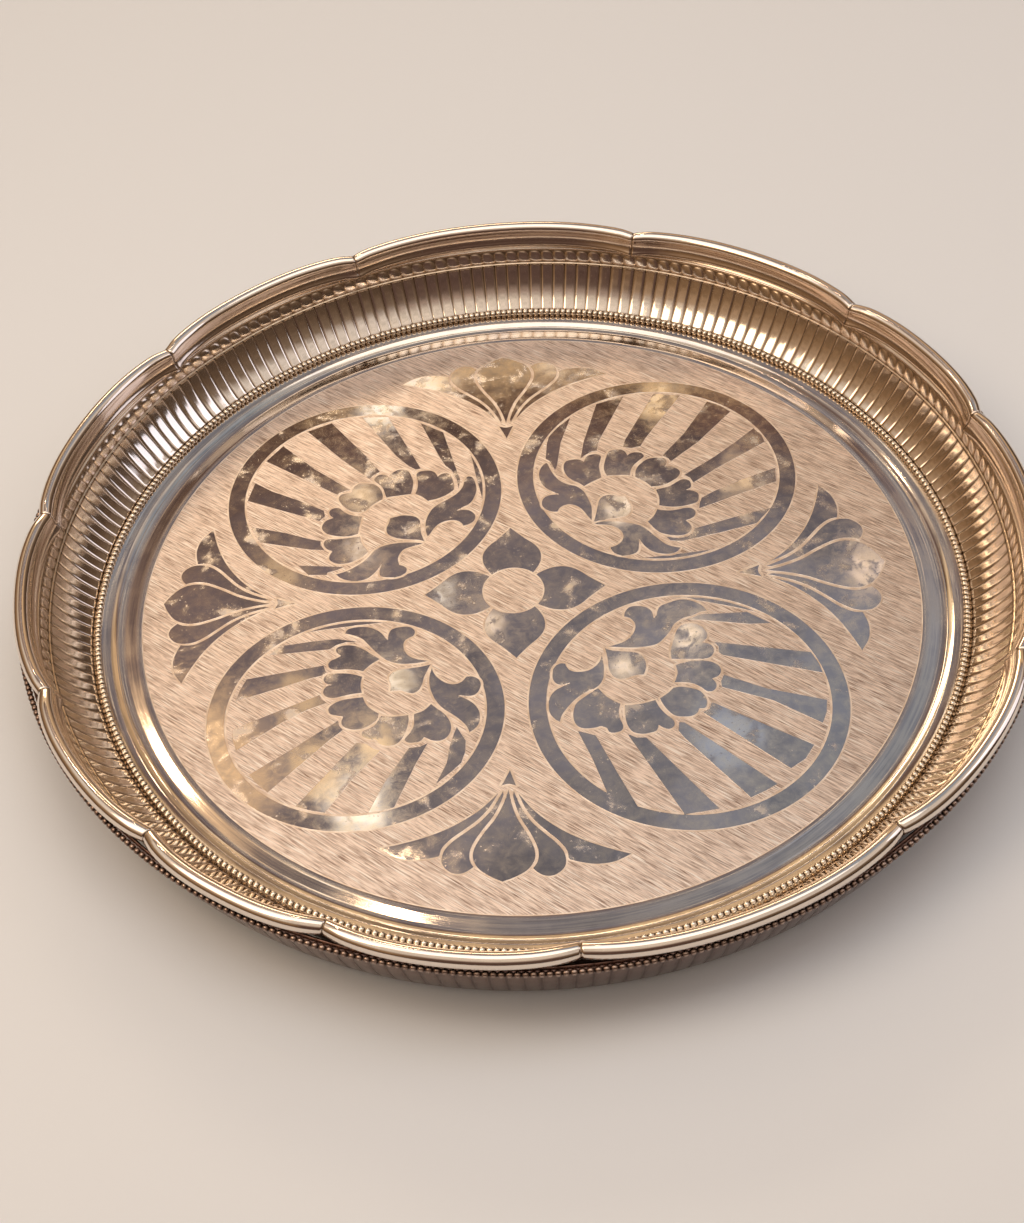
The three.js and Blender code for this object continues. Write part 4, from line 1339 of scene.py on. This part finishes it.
# Room colours from the floor up to overhead: ahead to the left, ahead to the right and behind the
# camera. The dish shows the part ahead from 0.63 to 0.84: brown to the left, blue-grey to the right
studio = {
    "left": [(0.0, "#8E7358"), (0.35, "#CDB494"), (0.638, "#F0D0A6"), (0.652, "#604738"), (0.7, "#80695F"),
             (0.76, "#8E7973"), (0.9, "#867164"), (0.97, "#E8DACB")],
    "right": [(0.0, "#6A5344"), (0.35, "#A58A70"), (0.638, "#E2BE94"), (0.654, "#795846"), (0.7, "#918E95"),
              (0.76, "#98A0AC"), (0.9, "#97A0AB"), (0.97, "#E8DACB")],
    "behind": [(0.0, "#5E4B41"), (0.35, "#58433B"), (0.5, "#5E4A40"), (0.62, "#9C8678"), (0.74, "#D8C8B8"),
               (0.93, "#E4D4C4")],
    "farLeft": [(0.0, "#5A4431"), (0.3, "#84664A"), (0.52, "#A98C70"), (0.68, "#E6D8C8"), (0.9, "#E6DCD2")],
    "farRight": [(0.0, "#3A2E26"), (0.3, "#5E4A3A"), (0.52, "#7E6A58"), (0.66, "#DACDC2"), (0.9, "#D8CBBF")],
    "turn": 0.25, "farFrom": 0.33, "farTo": 0.5, "patchDegrees": 2.4, "patchDark": 0.68, "patchLight": 1.36,
}
# Far lights and bright things of the room, seen in the polished ornament: direction, spread in
# degrees, colour and brightness
farLights = [
    ((-0.195, 0.602, 0.774), 3.8, "#FFD9AE", 1.0),
    ((-0.101, 0.594, 0.798), 1.3, "#FFF3DF", 2.4),
    ((-0.090, 0.621, 0.779), 0.9, "#FFE0B4", 1.7),
    ((-0.124, 0.610, 0.783), 1.1, "#FFDCAC", 1.3),
    ((-0.078, 0.650, 0.757), 0.65, "#FFEFD4", 2.0),
    ((-0.076, 0.755, 0.651), 0.9, "#FFF3DF", 2.2),
    ((-0.090, 0.722, 0.686), 0.7, "#FFE3BC", 1.9),
    ((-0.091, 0.703, 0.705), 0.6, "#FFE8CC", 1.7),
    ((-0.135, 0.690, 0.711), 0.8, "#F0CFA4", 1.2),
    ((-0.130, 0.640, 0.757), 0.9, "#F0CFA4", 1.2),
    ((-0.047, 0.685, 0.727), 0.4, "#FFF3DF", 2.0),
    ((-0.023, 0.671, 0.741), 0.6, "#FFE8CC", 1.7),
    ((0.077, 0.752, 0.655), 0.8, "#FFDFB2", 1.7),
    ((0.054, 0.715, 0.697), 0.7, "#FFEBD0", 2.0),
    ((0.120, 0.720, 0.684), 0.8, "#FFE0B8", 1.4),
    ((0.087, 0.660, 0.746), 0.7, "#FFEBD0", 2.0),
    ((0.050, 0.649, 0.759), 0.6, "#FFEBD0", 1.9),
    ((0.105, 0.615, 0.781), 1.4, "#C6CEDA", 1.0),
    ((0.185, 0.675, 0.714), 0.9, "#FFE6CC", 1.6),
    ((-0.049, 0.763, 0.644), 0.8, "#FFEBD0", 2.0),
    ((0.024, 0.775, 0.631), 0.7, "#FFF3DF", 2.4),
    ((-0.062, 0.770, 0.635), 0.7, "#FFF3DF", 2.4),
]


def buildWorld():
    world = bpy.data.worlds.new("studio")
    bpy.context.scene.world = world
    world.use_nodes = True
    tree = world.node_tree
    tree.nodes.clear()
    place = addNode(tree, "ShaderNodeTexCoord")
    parts = addNode(tree, "ShaderNodeSeparateXYZ", links={"Vector": place.outputs["Generated"]})
    ramps = {side: addNode(tree, "ShaderNodeValToRGB", {"ramp": studio[side]}, {"Fac": parts.outputs["Z"]})
             for side in ("left", "right", "behind", "farLeft", "farRight")}
    room = ramps["left"].outputs["Color"]
    for side, axis, start, end in (("right", "X", -studio["turn"], studio["turn"]),
                                   ("behind", "Y", studio["turn"], -studio["turn"]),
                                   ("farLeft", "X", -studio["farFrom"], -studio["farTo"]),
                                   ("farRight", "X", studio["farFrom"], studio["farTo"])):
        share = addNode(tree, "ShaderNodeMapRange", {
            "From Min": start, "From Max": end, "To Min": 0, "To Max": 1,
        }, {"Value": parts.outputs[axis]})
        room = addNode(tree, "ShaderNodeMix", {"data_type": "RGBA"}, {
            0: share.outputs["Result"], 6: room, 7: ramps[side].outputs["Color"]}).outputs[2]
    # soft light and dark patches, as any furnished room has
    patches = addNode(tree, "ShaderNodeTexNoise", {
        "Scale": 1 / math.radians(studio["patchDegrees"]), "Detail": 3, "Roughness": 0.55,
    }, {"Vector": place.outputs["Generated"]})
    uneven = addNode(tree, "ShaderNodeMapRange", {
        "From Min": 0.32, "From Max": 0.68, "To Min": studio["patchDark"], "To Max": studio["patchLight"],
    }, {"Value": patches.outputs["Fac"]})
    colour = addNode(tree, "ShaderNodeVectorMath", {"operation": "SCALE"}, {
        0: room, "Scale": uneven.outputs["Result"]}).outputs["Vector"]
    for direction, spread, shade, bright in farLights:
        towards = addNode(tree, "ShaderNodeVectorMath", {
            "operation": "DOT_PRODUCT", 1: Vector(direction).normalized(),
        }, {0: place.outputs["Generated"]})
        glow = addNode(tree, "ShaderNodeMapRange", {
            "interpolation_type": "SMOOTHERSTEP",
            "From Min": math.cos(math.radians(spread)), "From Max": 1, "To Min": 0, "To Max": 1,
        }, {"Value": towards.outputs["Value"]})
        shown = [bright * channel for channel in hexColour(shade)]
        colour = addNode(tree, "ShaderNodeMix", {"data_type": "RGBA", 7: shown}, {
            0: glow.outputs["Result"], 6: colour}).outputs[2]
    light = addNode(tree, "ShaderNodeBackground", links={"Color": colour})
    addNode(tree, "ShaderNodeOutputWorld", links={"Surface": light.outputs["Background"]})


buildWorld()

# Each lamp: width and depth, place, the point it faces, power in watts and colour
lamps = {
    "overhead": {"size": (0.6, 1.1), "place": (-0.05, 0, 0.85), "aim": (0, 0, 0),
                 "power": 1.7, "colour": "#FFFAF6"},
    "ahead": {"size": (0.8, 0.2), "place": (-0.3, 1.4, 0.88), "aim": (0, 0, 0),
              "power": 2.9, "colour": "#FFE6C6"},
    "left": {"size": (0.36, 0.36), "place": (-0.42, -0.16, 0.6), "aim": (-0.05, -0.05, 0),
             "power": 0.9, "colour": "#FFDDB4"},
    "right": {"size": (0.4, 0.8), "place": (1.0, 0.15, 0.55), "aim": (0, 0, 0),
              "power": 1.0, "colour": "#F1F1FF"},
    "lampLeft": {"size": (0.035, 0.035), "place": (-0.329, 0.601, 0.849), "aim": (-0.105, -0.063, 0),
                 "power": 0.17, "colour": "#FFDFBA"},
    "lampFront": {"size": (0.035, 0.035), "place": (-0.125, 0.498, 0.913), "aim": (-0.038, -0.11, 0),
                  "power": 0.1, "colour": "#FFDFBA"},
}


def buildLamps():
    for name, lamp in lamps.items():
        data = bpy.data.lights.new(name, "AREA")
        data.shape = "ELLIPSE"
        data.size, data.size_y = lamp["size"]
        data.energy = lamp["power"]
        data.color = hexColour(lamp["colour"])[:3]
        holder = addObject(name, data)
        holder.location = lamp["place"]
        facing = Vector(lamp["aim"]) - Vector(lamp["place"])
        holder.rotation_euler = facing.to_track_quat("-Z", "Y").to_euler()


buildLamps()

# Camera: fitted to the plate's rings in the photograph, which is taken as 1024 by 1223
view = {
    "place": (0.0000623, -0.37672, 0.40069), "turn": (2.398602, -0.059692, -0.037597),
    "focalPixels": 1800, "imageHeight": 1223, "sensor": 36,
}


def buildCamera():
    data = bpy.data.cameras.new("camera")
    data.sensor_fit = "VERTICAL"
    data.sensor_height = view["sensor"]
    data.lens = view["focalPixels"] * view["sensor"] / view["imageHeight"]
    data.clip_start = 0.01
    camera = addObject("camera", data)
    turn = Vector(view["turn"])
    toCamera = Matrix.Rotation(turn.length, 3, turn.normalized())
    axes = Matrix((toCamera[0], -toCamera[1], -toCamera[2])).transposed()
    camera.matrix_world = Matrix.Translation(view["place"]) @ axes.to_4x4()
    bpy.context.scene.camera = camera


buildCamera()
bpy.context.scene.view_settings.view_transform = "Standard"
print("stage, light and camera set")
